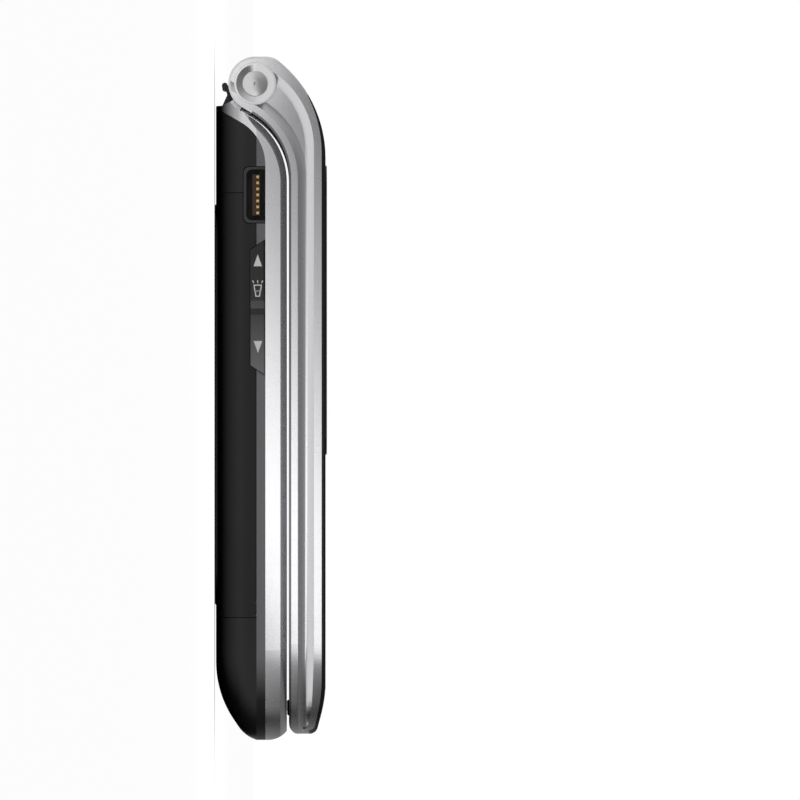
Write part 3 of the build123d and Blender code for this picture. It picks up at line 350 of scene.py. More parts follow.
# %% Silver, chrome and bare metal
LACQUER = {"colour": (0.83, 0.83, 0.85), "shift": 0.01, "rough": (0.25, 0.28),
           "grain_size": 0.06, "grain_depth": 0.001, "Metallic": 1.0}
finishes = {}
finishes["silver"] = finish("silver_lacquer", **LACQUER)
finishes["ring"] = finish(
    "ring_chrome", (0.86, 0.86, 0.87), 0.01, (0.26, 0.3), 0.08, 0.001, Metallic=1.0
)
finishes["cap"] = finish(
    "cap_chrome", (0.84, 0.84, 0.85), 0.01, (0.34, 0.38), 0.08, 0.001, Metallic=1.0
)
finishes["steel"] = finish(
    "screw_steel", (0.42, 0.42, 0.43), 0.1, (0.25, 0.4), 0.08, 0.003, Metallic=1.0
)
finishes["gold"] = finish(
    "contact_gold", (0.85, 0.58, 0.25), 0.08, (0.2, 0.32), 0.05, 0.002, Metallic=1.0
)

# %% Black and dark plastics
finishes["shell"] = finish(
    "satin_black_shell", (0.008, 0.008, 0.009), 0.1, (0.36, 0.42), 0.12, 0.004,
    Specular_IOR_Level=0.35,
)
finishes["cover"] = finish(
    "black_lid_cover", (0.008, 0.008, 0.009), 0.15, (0.3, 0.38), 0.12, 0.003,
    Specular_IOR_Level=0.3,
)
finishes["window"] = finish(
    "polished_black_window", (0.004, 0.004, 0.005), 0.2, (0.12, 0.2), 0.2, 0.0006,
    Specular_IOR_Level=0.45,
)
finishes["strip"] = finish("hinge_strip_grey", (0.05, 0.05, 0.052), 0.1, (0.4, 0.5), 0.1, 0.004)
finishes["plate"] = finish(
    "key_plate_grey", (0.1, 0.1, 0.105), 0.05, (0.3, 0.38), 0.12, 0.002, Metallic=0.4
)
finishes["key"] = finish(
    "key_cap_silver", (0.5, 0.51, 0.53), 0.03, (0.3, 0.38), 0.1, 0.002, Metallic=0.2
)
finishes["rubber"] = finish("soft_rubber", (0.018, 0.018, 0.018), 0.2, (0.6, 0.75), 0.15, 0.008)
finishes["socket"] = finish("socket_black", (0.03, 0.03, 0.032), 0.1, (0.35, 0.45), 0.1, 0.003)
finishes["tongue"] = finish("tongue_brown", (0.05, 0.017, 0.006), 0.2, (0.35, 0.5), 0.1, 0.003)

# %% Inner materials
finishes["board"] = finish("board_green", (0.01, 0.07, 0.03), 0.25, (0.3, 0.5), 0.2, 0.004)
finishes["film"] = finish("dome_film", (0.62, 0.62, 0.58), 0.06, (0.3, 0.45), 0.2, 0.003)
finishes["cable"] = finish("amber_film", (0.42, 0.15, 0.02), 0.12, (0.25, 0.4), 0.15, 0.003)
finishes["display"] = finish("display_dark", (0.012, 0.014, 0.02), 0.05, (0.08, 0.14), 0.1, 0.0005)
finishes["battery"] = finish("battery_wrap", (0.55, 0.56, 0.58), 0.05, (0.3, 0.42), 0.15, 0.003)
finishes["lamp"] = finish(
    "lamp_lens", (0.85, 0.82, 0.6), 0.08, (0.06, 0.12), 0.3, 0.002, Transmission_Weight=0.5
)
finishes["side_key"] = finish(
    "rocker_painted_light", (0.02, 0.02, 0.021), 0.1, (0.3, 0.38), 0.1, 0.003
)
finishes["lens"] = finish("printed_lens", (0.9, 0.92, 0.93), 0.02, (0.02, 0.05), 0.3, 0.0003)
print("finishes:", len(finishes))

# %% [markdown]
# ## Painted light and shade on the side rocker
#
# The rocker is one black moulding, and its light and shade are painted into its colour. Its upper
# part is black past a short grey band, a painted highlight on the upper slope of its middle groove.
# The lower part is a painted grey that grows lighter towards its end, where the light falls. A dark
# band, painted shadow on the groove's lower slope, parts them. The tone follows the rocker's own
# length, so it is read from the Object coordinate along Y and mixed by a colour ramp.

# %% Rocker ramp
# Painted light along the rocker: lower pad lighter towards its end, painted shadow in the groove,
# painted lit slope, black upper pad.
ROCKER_PAINTED_LIGHT = [
    (0.0, 0.16), (0.2, 0.11), (0.448, 0.035), (0.45, 0.001), (0.494, 0.001), (0.496, 0.075),
    (0.552, 0.06), (0.555, 0.012), (1.0, 0.004),
]


def axes_of(tree, vector):
    """X, Y and Z of a vector socket."""
    node = tree.nodes.new("ShaderNodeSeparateXYZ")
    tree.links.new(vector, node.inputs[0])
    return node.outputs


def grey_ramp(tree, value, tones):
    """Colour ramp of greys, from pairs of a place from 0 to 1 and a tone."""
    ramp = tree.nodes.new("ShaderNodeValToRGB")
    while len(ramp.color_ramp.elements) < len(tones):
        ramp.color_ramp.elements.new(0.5)
    for element, (spot, tone) in zip(ramp.color_ramp.elements, tones):
        element.position = spot
        element.color = (tone, tone, tone, 1.0)
    tree.links.new(value, ramp.inputs["Fac"])
    return ramp.outputs["Color"]


tree, shader, place = parts_of(finishes["side_key"])
rocker_low, rocker_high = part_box("side_rocker")
along = range_node(tree, axes_of(tree, place)["Y"], rocker_low.y, rocker_high.y)
tree.links.new(grey_ramp(tree, along, ROCKER_PAINTED_LIGHT), shader.inputs["Base Color"])
print("rocker tones:", len(ROCKER_PAINTED_LIGHT))

# %% [markdown]
# ## Painted sheen on the rail of the shell
#
# The shell's side has a flat rail under the silver rim, and there a painted sheen turns the black
# into a dark grey, where the flat rail would catch the light. The sheen starts at the crease and
# fades out where the rail turns round the free end, away from the light. A mask from the Object
# coordinates draws it. The round collar of the headphone socket keeps the black.

# %% Painted sheen on the rail
CREASE_Z = 6.44 * MM
COLLAR_RADIUS = 3.6 * MM
SHEEN_FADE = (-47 * MM, -39 * MM)
RAIL_SHEEN_TONE = (0.165, 0.165, 0.17, 1.0)


def square_sum(tree, first, second):
    """Sum of the squares of two values."""
    squares = [math_node(tree, "MULTIPLY", value, value) for value in (first, second)]
    return math_node(tree, "ADD", *squares)


tree, shader, place = parts_of(finishes["shell"])
x, y, z = axes_of(tree, place)
jack_low, jack_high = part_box("headphone_socket")
jack = (jack_low + jack_high) / 2
from_jack = square_sum(
    tree, math_node(tree, "SUBTRACT", y, jack.y), math_node(tree, "SUBTRACT", z, jack.z)
)
off_collar = math_node(
    tree, "MAXIMUM", math_node(tree, "GREATER_THAN", from_jack, COLLAR_RADIUS**2),
    math_node(tree, "LESS_THAN", x, 0.0),
)
# Painted sheen: the rail above the crease is drawn dark grey where it would catch the light.
above_crease = math_node(tree, "GREATER_THAN", z, CREASE_Z)
fade = range_node(tree, y, *SHEEN_FADE, smooth=True)
painted_sheen = math_node(tree, "MULTIPLY", math_node(tree, "MULTIPLY", above_crease, off_collar), fade)
black = shader.inputs["Base Color"].links[0].from_socket
tree.links.new(mix_node(tree, painted_sheen, black, RAIL_SHEEN_TONE), shader.inputs["Base Color"])
print("rail above", CREASE_Z / MM, "mm")

# %% [markdown]
# ## How far a point lies from the bezel's edge
#
# Two finishes follow the upper edge of the lid's inner bezel. Seen from the side it runs level
# along the phone, and then bends down to the hinge. A node group gives the distance from that edge
# out of the Object coordinates: a level line, an arc and a sloping line. It is positive in the lid
# frame.

# %% Distance from the edge
SLOPE = math.radians(59.0)
EDGE_BEND = 12.95 * MM
HINGE_Y, HINGE_Z = 48.36 * MM, 6.25 * MM
EDGE_TO_HINGE = 2.89 * MM
edge_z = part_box("lid_inner_bezel")[1].z
slope_far = HINGE_Y * math.sin(SLOPE) + HINGE_Z * math.cos(SLOPE) - EDGE_TO_HINGE
arc_z = edge_z - EDGE_BEND
arc_y = (slope_far - EDGE_BEND - arc_z * math.cos(SLOPE)) / math.sin(SLOPE)

edge, edge_in, edge_out = new_group(
    "distance_from_edge", [("Vector", "v")], [("Value", "f")]
)
_, y, z = axes_of(edge, edge_in.outputs["Vector"])
above_level = math_node(edge, "SUBTRACT", z, edge_z)
along_slope = math_node(
    edge, "ADD", math_node(edge, "MULTIPLY", y, math.sin(SLOPE)),
    math_node(edge, "MULTIPLY", z, math.cos(SLOPE)),
)
above_slope = math_node(edge, "SUBTRACT", along_slope, slope_far)
from_y = math_node(edge, "SUBTRACT", y, arc_y)
from_z = math_node(edge, "SUBTRACT", z, arc_z)
from_arc = math_node(edge, "SQRT", square_sum(edge, from_y, from_z))
above_arc = math_node(edge, "SUBTRACT", from_arc, EDGE_BEND)
in_bend = math_node(
    edge, "MULTIPLY", math_node(edge, "GREATER_THAN", from_y, 0.0),
    math_node(
        edge, "LESS_THAN", math_node(edge, "MULTIPLY", from_y, math.cos(SLOPE)),
        math_node(edge, "MULTIPLY", from_z, math.sin(SLOPE)),
    ),
)
above_lines = math_node(edge, "MAXIMUM", above_level, above_slope)
edge.links.new(
    mix_node(edge, in_bend, above_lines, above_arc, colours=False), edge_out.inputs["Value"]
)
print("edge height", round(edge_z / MM, 2), "bend starts at", round(arc_y / MM, 2))

# %% [markdown]
# ## The cove of the lid frame and the two tones of the bezel
#
# The frame's scoop doesn't start square at the bezel. It starts as a shallow cove, and a bump turns
# the cove's depth into the way the surface faces. The bezel itself is lacquered dark on the face
# that looks at the keys and silver on its edge. The two tones meet on the small bevel along the
# gap, which makes the dark line there.

# %% Cove relief
COVE_START, COVE_WIDTH, COVE_DEPTH = 0.1 * MM, 1.4 * MM, 0.57 * MM
finishes["lid_silver"] = finish("silver_lacquer_coved", **LACQUER)
tree, shader, place = parts_of(finishes["lid_silver"])
from_edge = group_node(tree, edge, Vector=place)
past_start = math_node(tree, "SUBTRACT", from_edge, COVE_START)
run = math_node(tree, "DIVIDE", past_start, COVE_WIDTH, clamp=True)
left_over = math_node(tree, "SUBTRACT", 1.0, run)
rise = math_node(tree, "MULTIPLY", left_over, left_over)
fine_bump = shader.inputs["Normal"].links[0].from_node
tree.links.new(bump_node(tree, rise, 1.0, COVE_DEPTH), fine_bump.inputs["Normal"])
print("cove from", COVE_START / MM, "mm to", (COVE_START + COVE_WIDTH) / MM, "mm")

# %% Bezel tones
DARK_FACE = -0.93 * MM
DARK_TONE = (0.24, 0.24, 0.25, 1.0)
finishes["bezel"] = finish("bezel_two_tone", **LACQUER)
tree, shader, place = parts_of(finishes["bezel"])
from_edge = group_node(tree, edge, Vector=place)
on_edge = math_node(tree, "GREATER_THAN", from_edge, DARK_FACE)
silver_tone = shader.inputs["Base Color"].links[0].from_socket
two_tone = mix_node(tree, on_edge, DARK_TONE, silver_tone)
tree.links.new(two_tone, shader.inputs["Base Color"])
print("bezel turns dark below", DARK_FACE / MM, "mm from its edge")

# %% [markdown]
# ## The printed lens of the inner display
#
# The lens is clear in the middle and printed black round its edge, so that only the picture area
# of the display shows. The print is a mask from the Object coordinates. It makes the lens opaque
# where it lies. A transmission value that changes over the surface would not survive the export,
# so the mask drives Alpha instead.

# %% Lens mask
LENS_BORDER = 3.4 * MM
CLEAR_ALPHA = 0.18
PRINT_SCALE, PRINT_DEEP = 200.0, (0.004, 0.004, 0.005, 1.0)
PRINT_LIGHT = (0.005, 0.005, 0.006, 1.0)
tree, shader, place = parts_of(finishes["lens"])
lens_low, lens_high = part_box("inner_lens")
x, y, _ = axes_of(tree, place)
borders = []
for socket, low, high in ((x, lens_low.x, lens_high.x), (y, lens_low.y, lens_high.y)):
    from_middle = math_node(tree, "SUBTRACT", socket, (low + high) / 2)
    apart = math_node(tree, "ABSOLUTE", from_middle)
    borders.append(math_node(tree, "GREATER_THAN", apart, (high - low) / 2 - LENS_BORDER))
border = math_node(tree, "MAXIMUM", *borders)
alpha = math_node(tree, "MULTIPLY_ADD", border, 1.0 - CLEAR_ALPHA, CLEAR_ALPHA)
tree.links.new(alpha, shader.inputs["Alpha"])
lens_tone = group_node(
    tree, tint, Vector=place, Scale=PRINT_SCALE, Deep=PRINT_DEEP, Light=PRINT_LIGHT
)
tree.links.new(lens_tone, shader.inputs["Base Color"])
print("lens border mm:", LENS_BORDER / MM)

# %% Clear window, marks and net
clear_glass = finish(
    "clear_glass", (0.93, 0.95, 0.96), 0.01, (0.02, 0.05), 0.3, 0.0003,
    Transmission_Weight=0.9, IOR=1.49,
)
mark_white = finish("mark_white", (0.78, 0.78, 0.78), 0.04, (0.4, 0.5), 0.1, 0.002)
mark_dark = finish("mark_dark", (0.02, 0.02, 0.022), 0.04, (0.4, 0.5), 0.1, 0.002)
mark_green = finish("mark_green", (0.01, 0.28, 0.04), 0.06, (0.4, 0.5), 0.1, 0.002)
mark_red = finish("mark_red", (0.6, 0.02, 0.02), 0.06, (0.4, 0.5), 0.1, 0.002)
net_black = finish("net_black", (0.02, 0.02, 0.02), 0.2, (0.4, 0.55), 0.06, 0.003)
extra = (clear_glass, mark_white, mark_dark, mark_green, mark_red, net_black)
print("extra finishes:", [material.name for material in extra])

# %% [markdown]
# ## Dress the CAD parts
#
# Each CAD part arrives with one material slot, named for its finish. Its mesh already has the
# right shape, so only the slot's material changes. Four parts then take a finish made for them.

# %% Assign the finishes
for name, node in nodes.items():
    for slot in node.material_slots:
        slot.material = finishes[slot.material.name.split(".")[0]]
nodes["camera_window"].material_slots[0].material = clear_glass
nodes["headphone_socket"].material_slots[0].material = finishes["tongue"]
nodes["lid_frame"].material_slots[0].material = finishes["lid_silver"]
nodes["lid_inner_bezel"].material_slots[0].material = finishes["bezel"]
print("dressed:", len(nodes))

# %% [markdown]
# ## Numbers on the keys
#
# Key legends are printed or laser-cut, and stand a few hundredths of a millimetre on the cap. A
# text object gives clean digit shapes. It is turned into a mesh with a small thickness and laid on
# the middle of its key, and it rides on the key's own body, so that it goes down with the key.

# %% Digits
MARK_RISE = 0.03 * MM
MARK_SINK = 0.01 * MM
DIGIT_SIZE = 6.2 * MM
DIGIT_FATTEN = 0.08 * MM


def key_top(name):
    """Middle of a key's top face."""
    low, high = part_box(name)
    return Vector(((low.x + high.x) / 2, (low.y + high.y) / 2, high.z))


def digit(name, sign):
    """Raised sign in the middle of a key."""
    spot = key_top(name)
    free_hands()
    bpy.ops.object.text_add(location=(spot.x, spot.y, spot.z - MARK_SINK))
    text = bpy.context.object
    text.data.body = sign
    text.data.size = DIGIT_SIZE
    text.data.align_x = "CENTER"
    text.data.align_y = "CENTER"
    text.data.resolution_u = 3
    text.data.offset = DIGIT_FATTEN
    text.data.extrude = MARK_RISE
    bpy.ops.object.convert(target="MESH")
    settle(bpy.context.object, name + "_mark", name + "_body", mark_dark)


signs = {"key_" + sign: sign for sign in "1234567890"} | {"key_star": "*", "key_hash": "#"}
for name, sign in signs.items():
    digit(name, sign)

# %% [markdown]
# ## Marks of the other keys
#
# The call and end keys carry a handset in green and red, the two soft keys a dash, the round
# navigation ring four arrowheads, and the middle key a ring. The handset is an arch with two
# thicker ends. It starts as a disc: inset, hole cut, halved with bisect, and its two cut faces are
# drawn out. On the call key the same handset stands aslant.

# %% Handset arch
ARCH_RADIUS, ARCH_WIDTH, ARCH_FOOT = 2.6 * MM, 0.95 * MM, 0.35 * MM
END_LENGTH, END_INNER, END_OUTER = 0.95 * MM, 1.35 * MM, 2.85 * MM
CALL_KEY_LEAN = math.radians(35)
NEAR = 0.1 * MM


def flat_ring(radius, width, location=(0, 0, 0)):
    """Ring, left in edit mode: the two ends of a disc are inset and bridged."""
    free_hands()
    bpy.ops.mesh.primitive_cylinder_add(
        vertices=48, radius=radius, depth=2 * MARK_RISE, location=location
    )
    piece = bpy.context.object
    edit_faces(piece, level)
    bpy.ops.mesh.inset(thickness=width)
    bpy.ops.mesh.bridge_edge_loops()
    return piece


def handset(name, material, turn):
    """Handset mark on a key, turned by an angle in the key's plane."""
    spot = key_top(name)
    piece = flat_ring(ARCH_RADIUS, ARCH_WIDTH)
    bpy.ops.mesh.select_all(action="SELECT")
    bpy.ops.mesh.bisect(
        plane_co=(0, ARCH_FOOT, 0), plane_no=(0, 1, 0), use_fill=True, clear_inner=True
    )
    edit_faces(piece, lambda centre, normal: normal.y < -FACING and centre.y < ARCH_FOOT + NEAR)
    pull(0, -ARCH_FOOT, 0)
    pull(0, -END_LENGTH, 0)
    bpy.ops.object.mode_set(mode="OBJECT")
    for vertex in piece.data.vertices:
        if vertex.co.y < -NEAR:
            inside = abs(vertex.co.x) < ARCH_RADIUS - ARCH_WIDTH / 2
            vertex.co.x = math.copysign(END_INNER if inside else END_OUTER, vertex.co.x)
    piece.rotation_euler.z = turn
    piece.location = (spot.x, spot.y, spot.z + MARK_RISE - MARK_SINK)
    settle(piece, name + "_mark", name + "_body", material)


handset("call_key", mark_green, CALL_KEY_LEAN)
handset("end_key", mark_red, 0.0)

# %% Dashes
DASH_LENGTH, DASH_WIDTH = 3.4 * MM, 0.7 * MM
DASH_POINT = (1.12, 0.35, 1)


def dash(name):
    """Short dash with drawn-in ends on a soft key."""
    spot = key_top(name)
    free_hands()
    bpy.ops.mesh.primitive_cube_add(size=1, location=spot)
    piece = bpy.context.object
    resize(piece, DASH_LENGTH, DASH_WIDTH, 2 * MARK_RISE)
    edit_faces(piece, lambda centre, normal: abs(normal.x) > FACING)
    pull(0, 0, 0)
    bpy.ops.transform.resize(value=DASH_POINT, center_override=tuple(spot))
    settle(piece, name + "_mark", name + "_body", mark_dark)


dash("soft_left_key")
dash("soft_right_key")

# %% Arrowheads and the ring of the middle key
ARROW_REACH, ARROW_RADIUS, ARROW_RIM = 6.2 * MM, 0.85 * MM, 0.06 * MM
RIM_RISE = 0.01 * MM
OK_RING_RADIUS, OK_RING_WIDTH = 1.5 * MM, 0.4 * MM


def raise_middle(piece, rim):
    """Insets the top of a flat piece by its rim and lifts what is inside."""
    edit_faces(piece, upward)
    bpy.ops.mesh.inset(thickness=rim)
    pull(0, 0, RIM_RISE)
    bpy.ops.object.mode_set(mode="OBJECT")
    return piece


nav_low, nav_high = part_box("nav_rocker")
nav_middle = (nav_low + nav_high) / 2
arrows = []
for step in range(4):
    angle = step * math.pi / 2
    free_hands()
    bpy.ops.mesh.primitive_cylinder_add(
        vertices=3, radius=ARROW_RADIUS, depth=2 * MARK_RISE, rotation=(0, 0, angle),
        location=(nav_middle.x - ARROW_REACH * math.sin(angle),
                  nav_middle.y + ARROW_REACH * math.cos(angle), nav_high.z),
    )
    arrows.append(raise_middle(bpy.context.object, ARROW_RIM))
settle(merge(arrows), "nav_rocker_marks", "nav_rocker_body", mark_dark)

ring_mark = flat_ring(OK_RING_RADIUS, OK_RING_WIDTH, key_top("ok_key"))
settle(ring_mark, "ok_key_mark", "ok_key_body", mark_dark)

# %% [markdown]
# ## Marks on the side rocker
#
# Three white marks stand on the rocker: an arrowhead up, a torch with three rays, and an arrowhead
# down. They are drawn flat, and then turned a quarter about Y, so that their picture plane faces
# the side. The arrowheads are three-sided discs with an inset rim. The torch is two framed plates,
# each a plane that is tapered and inset, and the rays are thin wedges.

# %% Helpers for flat marks
ROCKER_FACE = rocker_low.x
ARROWHEAD_RIM = 0.08 * MM


def stand_on_side(piece, y_mm, z_mm):
    """Turns a flat mark to face the side, and puts it on the rocker."""
    only(piece)
    bpy.ops.object.transform_apply(location=True, rotation=True, scale=True)
    piece.rotation_euler = (0, -math.pi / 2, 0)
    piece.location = (ROCKER_FACE + MARK_SINK, y_mm * MM, z_mm * MM)
    return piece


def arrowhead(width, height, turn):
    """Flat arrowhead of a size in millimetres, with a bevelled rim."""
    free_hands()
    bpy.ops.mesh.primitive_cylinder_add(
        vertices=3, radius=MM, depth=2 * MARK_RISE, rotation=(0, 0, turn)
    )
    piece = bpy.context.object
    bpy.ops.object.transform_apply(location=False, rotation=True, scale=False)
    size = piece.dimensions
    resize(piece, width * MM / size.x, height * MM / size.y)
    return raise_middle(piece, ARROWHEAD_RIM)


def framed_plate(top_width, low_width, top, low, border):
    """Flat tapered frame between two heights, in millimetres."""
    free_hands()
    bpy.ops.mesh.primitive_plane_add(size=1)
    piece = bpy.context.object
    for vertex in piece.data.vertices:
        width = top_width if vertex.co.y > 0 else low_width
        height = top if vertex.co.y > 0 else low
        vertex.co = (math.copysign(width / 2 * MM, vertex.co.x), height * MM, 0)
    edit_faces(piece, every)
    bpy.ops.mesh.inset(thickness=border * MM)
    bpy.ops.mesh.delete(type="FACE")
    bpy.ops.mesh.select_all(action="SELECT")
    pull(0, 0, MARK_RISE)
    bpy.ops.object.mode_set(mode="OBJECT")
    return piece


# %% Arrowheads of the rocker
up_mark = stand_on_side(arrowhead(1.3, 1.84, 0), 20.96, 6.63)
settle(up_mark, "rocker_up_mark", "side_rocker_body", mark_white)
down_mark = stand_on_side(arrowhead(1.32, 1.84, math.pi), 8.28, 6.66)
settle(down_mark, "rocker_down_mark", "side_rocker_body", mark_white)

# %% Torch of the rocker
RAY_SPACING, RAY_HEIGHT, RAY_LEAN = 0.66 * MM, 1.05 * MM, math.radians(30)
RAY_WIDTH, RAY_LENGTH = 0.2 * MM, 0.44 * MM
torch_pieces = [
    framed_plate(1.28, 1.05, 0.62, -0.42, 0.17),
    framed_plate(0.95, 0.72, -0.3, -1.24, 0.17),
]
for lean in (-1, 0, 1):
    free_hands()
    bpy.ops.mesh.primitive_cube_add(
        size=1, location=(lean * RAY_SPACING, RAY_HEIGHT, MARK_RISE / 2)
    )
    ray = bpy.context.object
    ray.rotation_euler.z = -lean * RAY_LEAN
    resize(ray, RAY_WIDTH, RAY_LENGTH, MARK_RISE)
    edit_faces(ray, lambda centre, normal: normal.y < -FACING)
    bpy.ops.transform.resize(value=(0.5, 1, 1), center_override=tuple(ray.location))
    bpy.ops.object.mode_set(mode="OBJECT")
    torch_pieces.append(ray)
torch_mark = stand_on_side(merge(torch_pieces), 16.92, 6.62)
settle(torch_mark, "rocker_torch_mark", "side_rocker_body", mark_white)

# %% [markdown]
# ## Screws with a cross recess
#
# The CAD screws are plain headed pins. On the real ones the head has a rounded rim and a cross for
# the driver, and on this phone they show as soon as the lid or the battery cover is open. One
# screw is modelled from a disc: the rim is bevelled and a cross is cut out of the head. It is then
# copied to each of the four places, each copy with its own mesh. The set replaces the CAD node.

# %% One screw
HEAD_RADIUS, HEAD_HEIGHT, HEAD_BEVEL = 1.2 * MM, 0.8 * MM, 0.18 * MM
SHANK_RADIUS = 0.7 * MM
CROSS_LENGTH, CROSS_WIDTH, CROSS_DEPTH = 1.5 * MM, 0.32 * MM, 0.35 * MM


def cross_screw(length):
    """Screw along +Z with the head's outer face at z = 0 and its cross cut from below."""
    free_hands()
    bpy.ops.mesh.primitive_cylinder_add(
        vertices=40, radius=HEAD_RADIUS, depth=HEAD_HEIGHT, location=(0, 0, HEAD_HEIGHT / 2)
    )
    screw = bpy.context.object
    bpy.ops.object.transform_apply(location=True, rotation=False, scale=False)
    edit_faces(screw, upward)
    bpy.ops.mesh.inset(thickness=HEAD_RADIUS - SHANK_RADIUS)
    pull(0, 0, length - HEAD_HEIGHT)
    edit_faces(screw, downward)
    bpy.ops.mesh.bevel(offset=HEAD_BEVEL, segments=3, affect="EDGES")
    bpy.ops.object.mode_set(mode="OBJECT")
    for turn in (0, math.pi / 2):
        free_hands()
        bpy.ops.mesh.primitive_cube_add(size=1, rotation=(0, 0, turn))
        cutter = bpy.context.object
        cutter.scale = (CROSS_LENGTH, CROSS_WIDTH, 2 * CROSS_DEPTH)
        only(screw)
        cut = screw.modifiers.new("cross", "BOOLEAN")
        cut.operation = "DIFFERENCE"
        cut.object = cutter
        bpy.ops.object.modifier_apply(modifier=cut.name)
        bpy.data.objects.remove(cutter)
    return screw


# %% Screws at their places
def screw_set(node_name, body, name):
    """Four cross screws at the places of a CAD node's four screws."""
    low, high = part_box(node_name)
    first = cross_screw(high.z - low.z)
    copies = [
        copy_to(first, (spot_x, spot_y, low.z))
        for spot_x in (low.x + HEAD_RADIUS, high.x - HEAD_RADIUS)
        for spot_y in (low.y + HEAD_RADIUS, high.y - HEAD_RADIUS)
    ]
    bpy.data.objects.remove(first)
    whole = settle(merge(copies), name, body, finishes["steel"])
    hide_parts(node_name)


screw_set("lid_screws", "lid", "lid_cross_screws")
screw_set("base_screws", "base", "base_cross_screws")

# %% [markdown]
# ## Net behind the earpiece slot
#
# Behind the earpiece slot lies a fine net that keeps dust out. The net is a grid whose faces are
# inset one by one and opened, and then given a thickness. A grid of round wires would need many
# more faces for something a few tenths of a millimetre wide.

# %% Net
NET_COLUMNS, NET_ROWS = 20, 3
NET_LENGTH, NET_WIDTH, NET_THICKNESS = 7.6 * MM, 1.0 * MM, 0.08 * MM
NET_WIRE = 0.14 * MM
NET_DROP = 0.14 * MM
ear_low, ear_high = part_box("earpiece")
ear_middle = (ear_low + ear_high) / 2
free_hands()
bpy.ops.mesh.primitive_grid_add(
    x_subdivisions=NET_COLUMNS, y_subdivisions=NET_ROWS, size=1,
    location=(ear_middle.x, ear_middle.y, ear_low.z - NET_DROP),
)
net = bpy.context.object
resize(net, NET_LENGTH, NET_WIDTH)
edit_faces(net, every)
bpy.ops.mesh.inset(thickness=NET_WIRE / 2, use_individual=True)
bpy.ops.mesh.delete(type="FACE")
bpy.ops.mesh.select_all(action="SELECT")
pull(0, 0, NET_THICKNESS)
bpy.ops.object.mode_set(mode="OBJECT")
settle(net, "earpiece_net", "lid", net_black)

# %% [markdown]
# ## Ribs under the housing's floor
#
# Between the ends of the battery bay and the ends of its cover the base is hollow from side to
# side, and light would shine straight through the fine seams. The real moulding has ribs there.
# Each is a block under the floor with its lower edges bevelled.

# %% Ribs
RIB_X, RIB_THICKNESS, RIB_TOP = 8.0 * MM, 0.8 * MM, 6.46 * MM
RIB_BEVEL = 0.15 * MM
RIB_SPANS_MM = ((-33.4, -32.0, 5.2), (23.6, 28.3, 3.8))
ribs = []
for low_y, high_y, foot_z in RIB_SPANS_MM:
    size = (RIB_THICKNESS, (high_y - low_y) * MM, RIB_TOP - foot_z * MM)
    free_hands()
    bpy.ops.mesh.primitive_cube_add(
        size=1, location=(RIB_X, (low_y + high_y) / 2 * MM, RIB_TOP - size[2] / 2)
    )
    rib = bpy.context.object
    resize(rib, *size)
    edit_faces(rib, downward)
    bpy.ops.mesh.bevel(offset=RIB_BEVEL, segments=2, affect="EDGES")
    bpy.ops.object.mode_set(mode="OBJECT")
    ribs.append(rib)
settle(merge(ribs), "housing_ribs", "base", finishes["shell"])

# %% [markdown]
# ## Camera lens under its window
#
# Under the clear window sits the lens of the camera: a black stepped barrel and a domed glass. The
# barrel is a disc whose lower end is inset and sunk three times, as a turned part would be. The
# glass is the cap of a flattened sphere, cut off with bisect.

# %% Lens barrel
BARREL_RADIUS, BARREL_DEPTH, BARREL_DROP = 1.9 * MM, 0.3 * MM, 0.17 * MM
BARREL_STEPS_MM = ((0.3, 0.08), (0.35, 0.08), (0.3, 0.06))
camera_low, camera_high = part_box("camera_window")
camera_middle = (camera_low + camera_high) / 2
module_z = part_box("camera_module")[0].z
print("window at", camera_low.z / MM, "mm, camera from", module_z / MM, "mm")
free_hands()
bpy.ops.mesh.primitive_cylinder_add(
    vertices=48, radius=BARREL_RADIUS, depth=BARREL_DEPTH,
    location=(camera_middle.x, camera_middle.y, module_z - BARREL_DROP),
)
barrel = bpy.context.object
edit_faces(barrel, downward)
for ring_width, depth in BARREL_STEPS_MM:
    bpy.ops.mesh.inset(thickness=ring_width * MM)
    pull(0, 0, depth * MM)
bpy.ops.object.mode_set(mode="OBJECT")
settle(barrel, "camera_lens_barrel", "base", net_black)

# %% Lens glass
GLASS_RADIUS, GLASS_FLATNESS = 1.0 * MM, 0.25
GLASS_DROP, GLASS_CUT = 0.1 * MM, 0.12 * MM
free_hands()
bpy.ops.mesh.primitive_uv_sphere_add(
    segments=32, ring_count=16, radius=GLASS_RADIUS,
    location=(camera_middle.x, camera_middle.y, module_z - GLASS_DROP),
)
glass = bpy.context.object
glass.scale.z = GLASS_FLATNESS
bpy.ops.object.transform_apply(location=True, rotation=False, scale=True)
edit_faces(glass, every)
bpy.ops.mesh.bisect(
    plane_co=(0, 0, module_z - GLASS_CUT), plane_no=(0, 0, -1), use_fill=True, clear_inner=True
)
bpy.ops.object.mode_set(mode="OBJECT")
settle(glass, "camera_lens_glass", "base", finishes["window"])

# %% [markdown]
# ## The camera for the picture
#
# The photograph is square on to the side of the phone, from far away, with the hinge at the top.
# So the camera stands three metres off at mid height of the phone, with a long lens, and is rolled
# a quarter turn: the picture's up is the phone's +Y, and its right is +Z. The phone stands left of
# the middle of the picture, which a small turn of the camera gives.

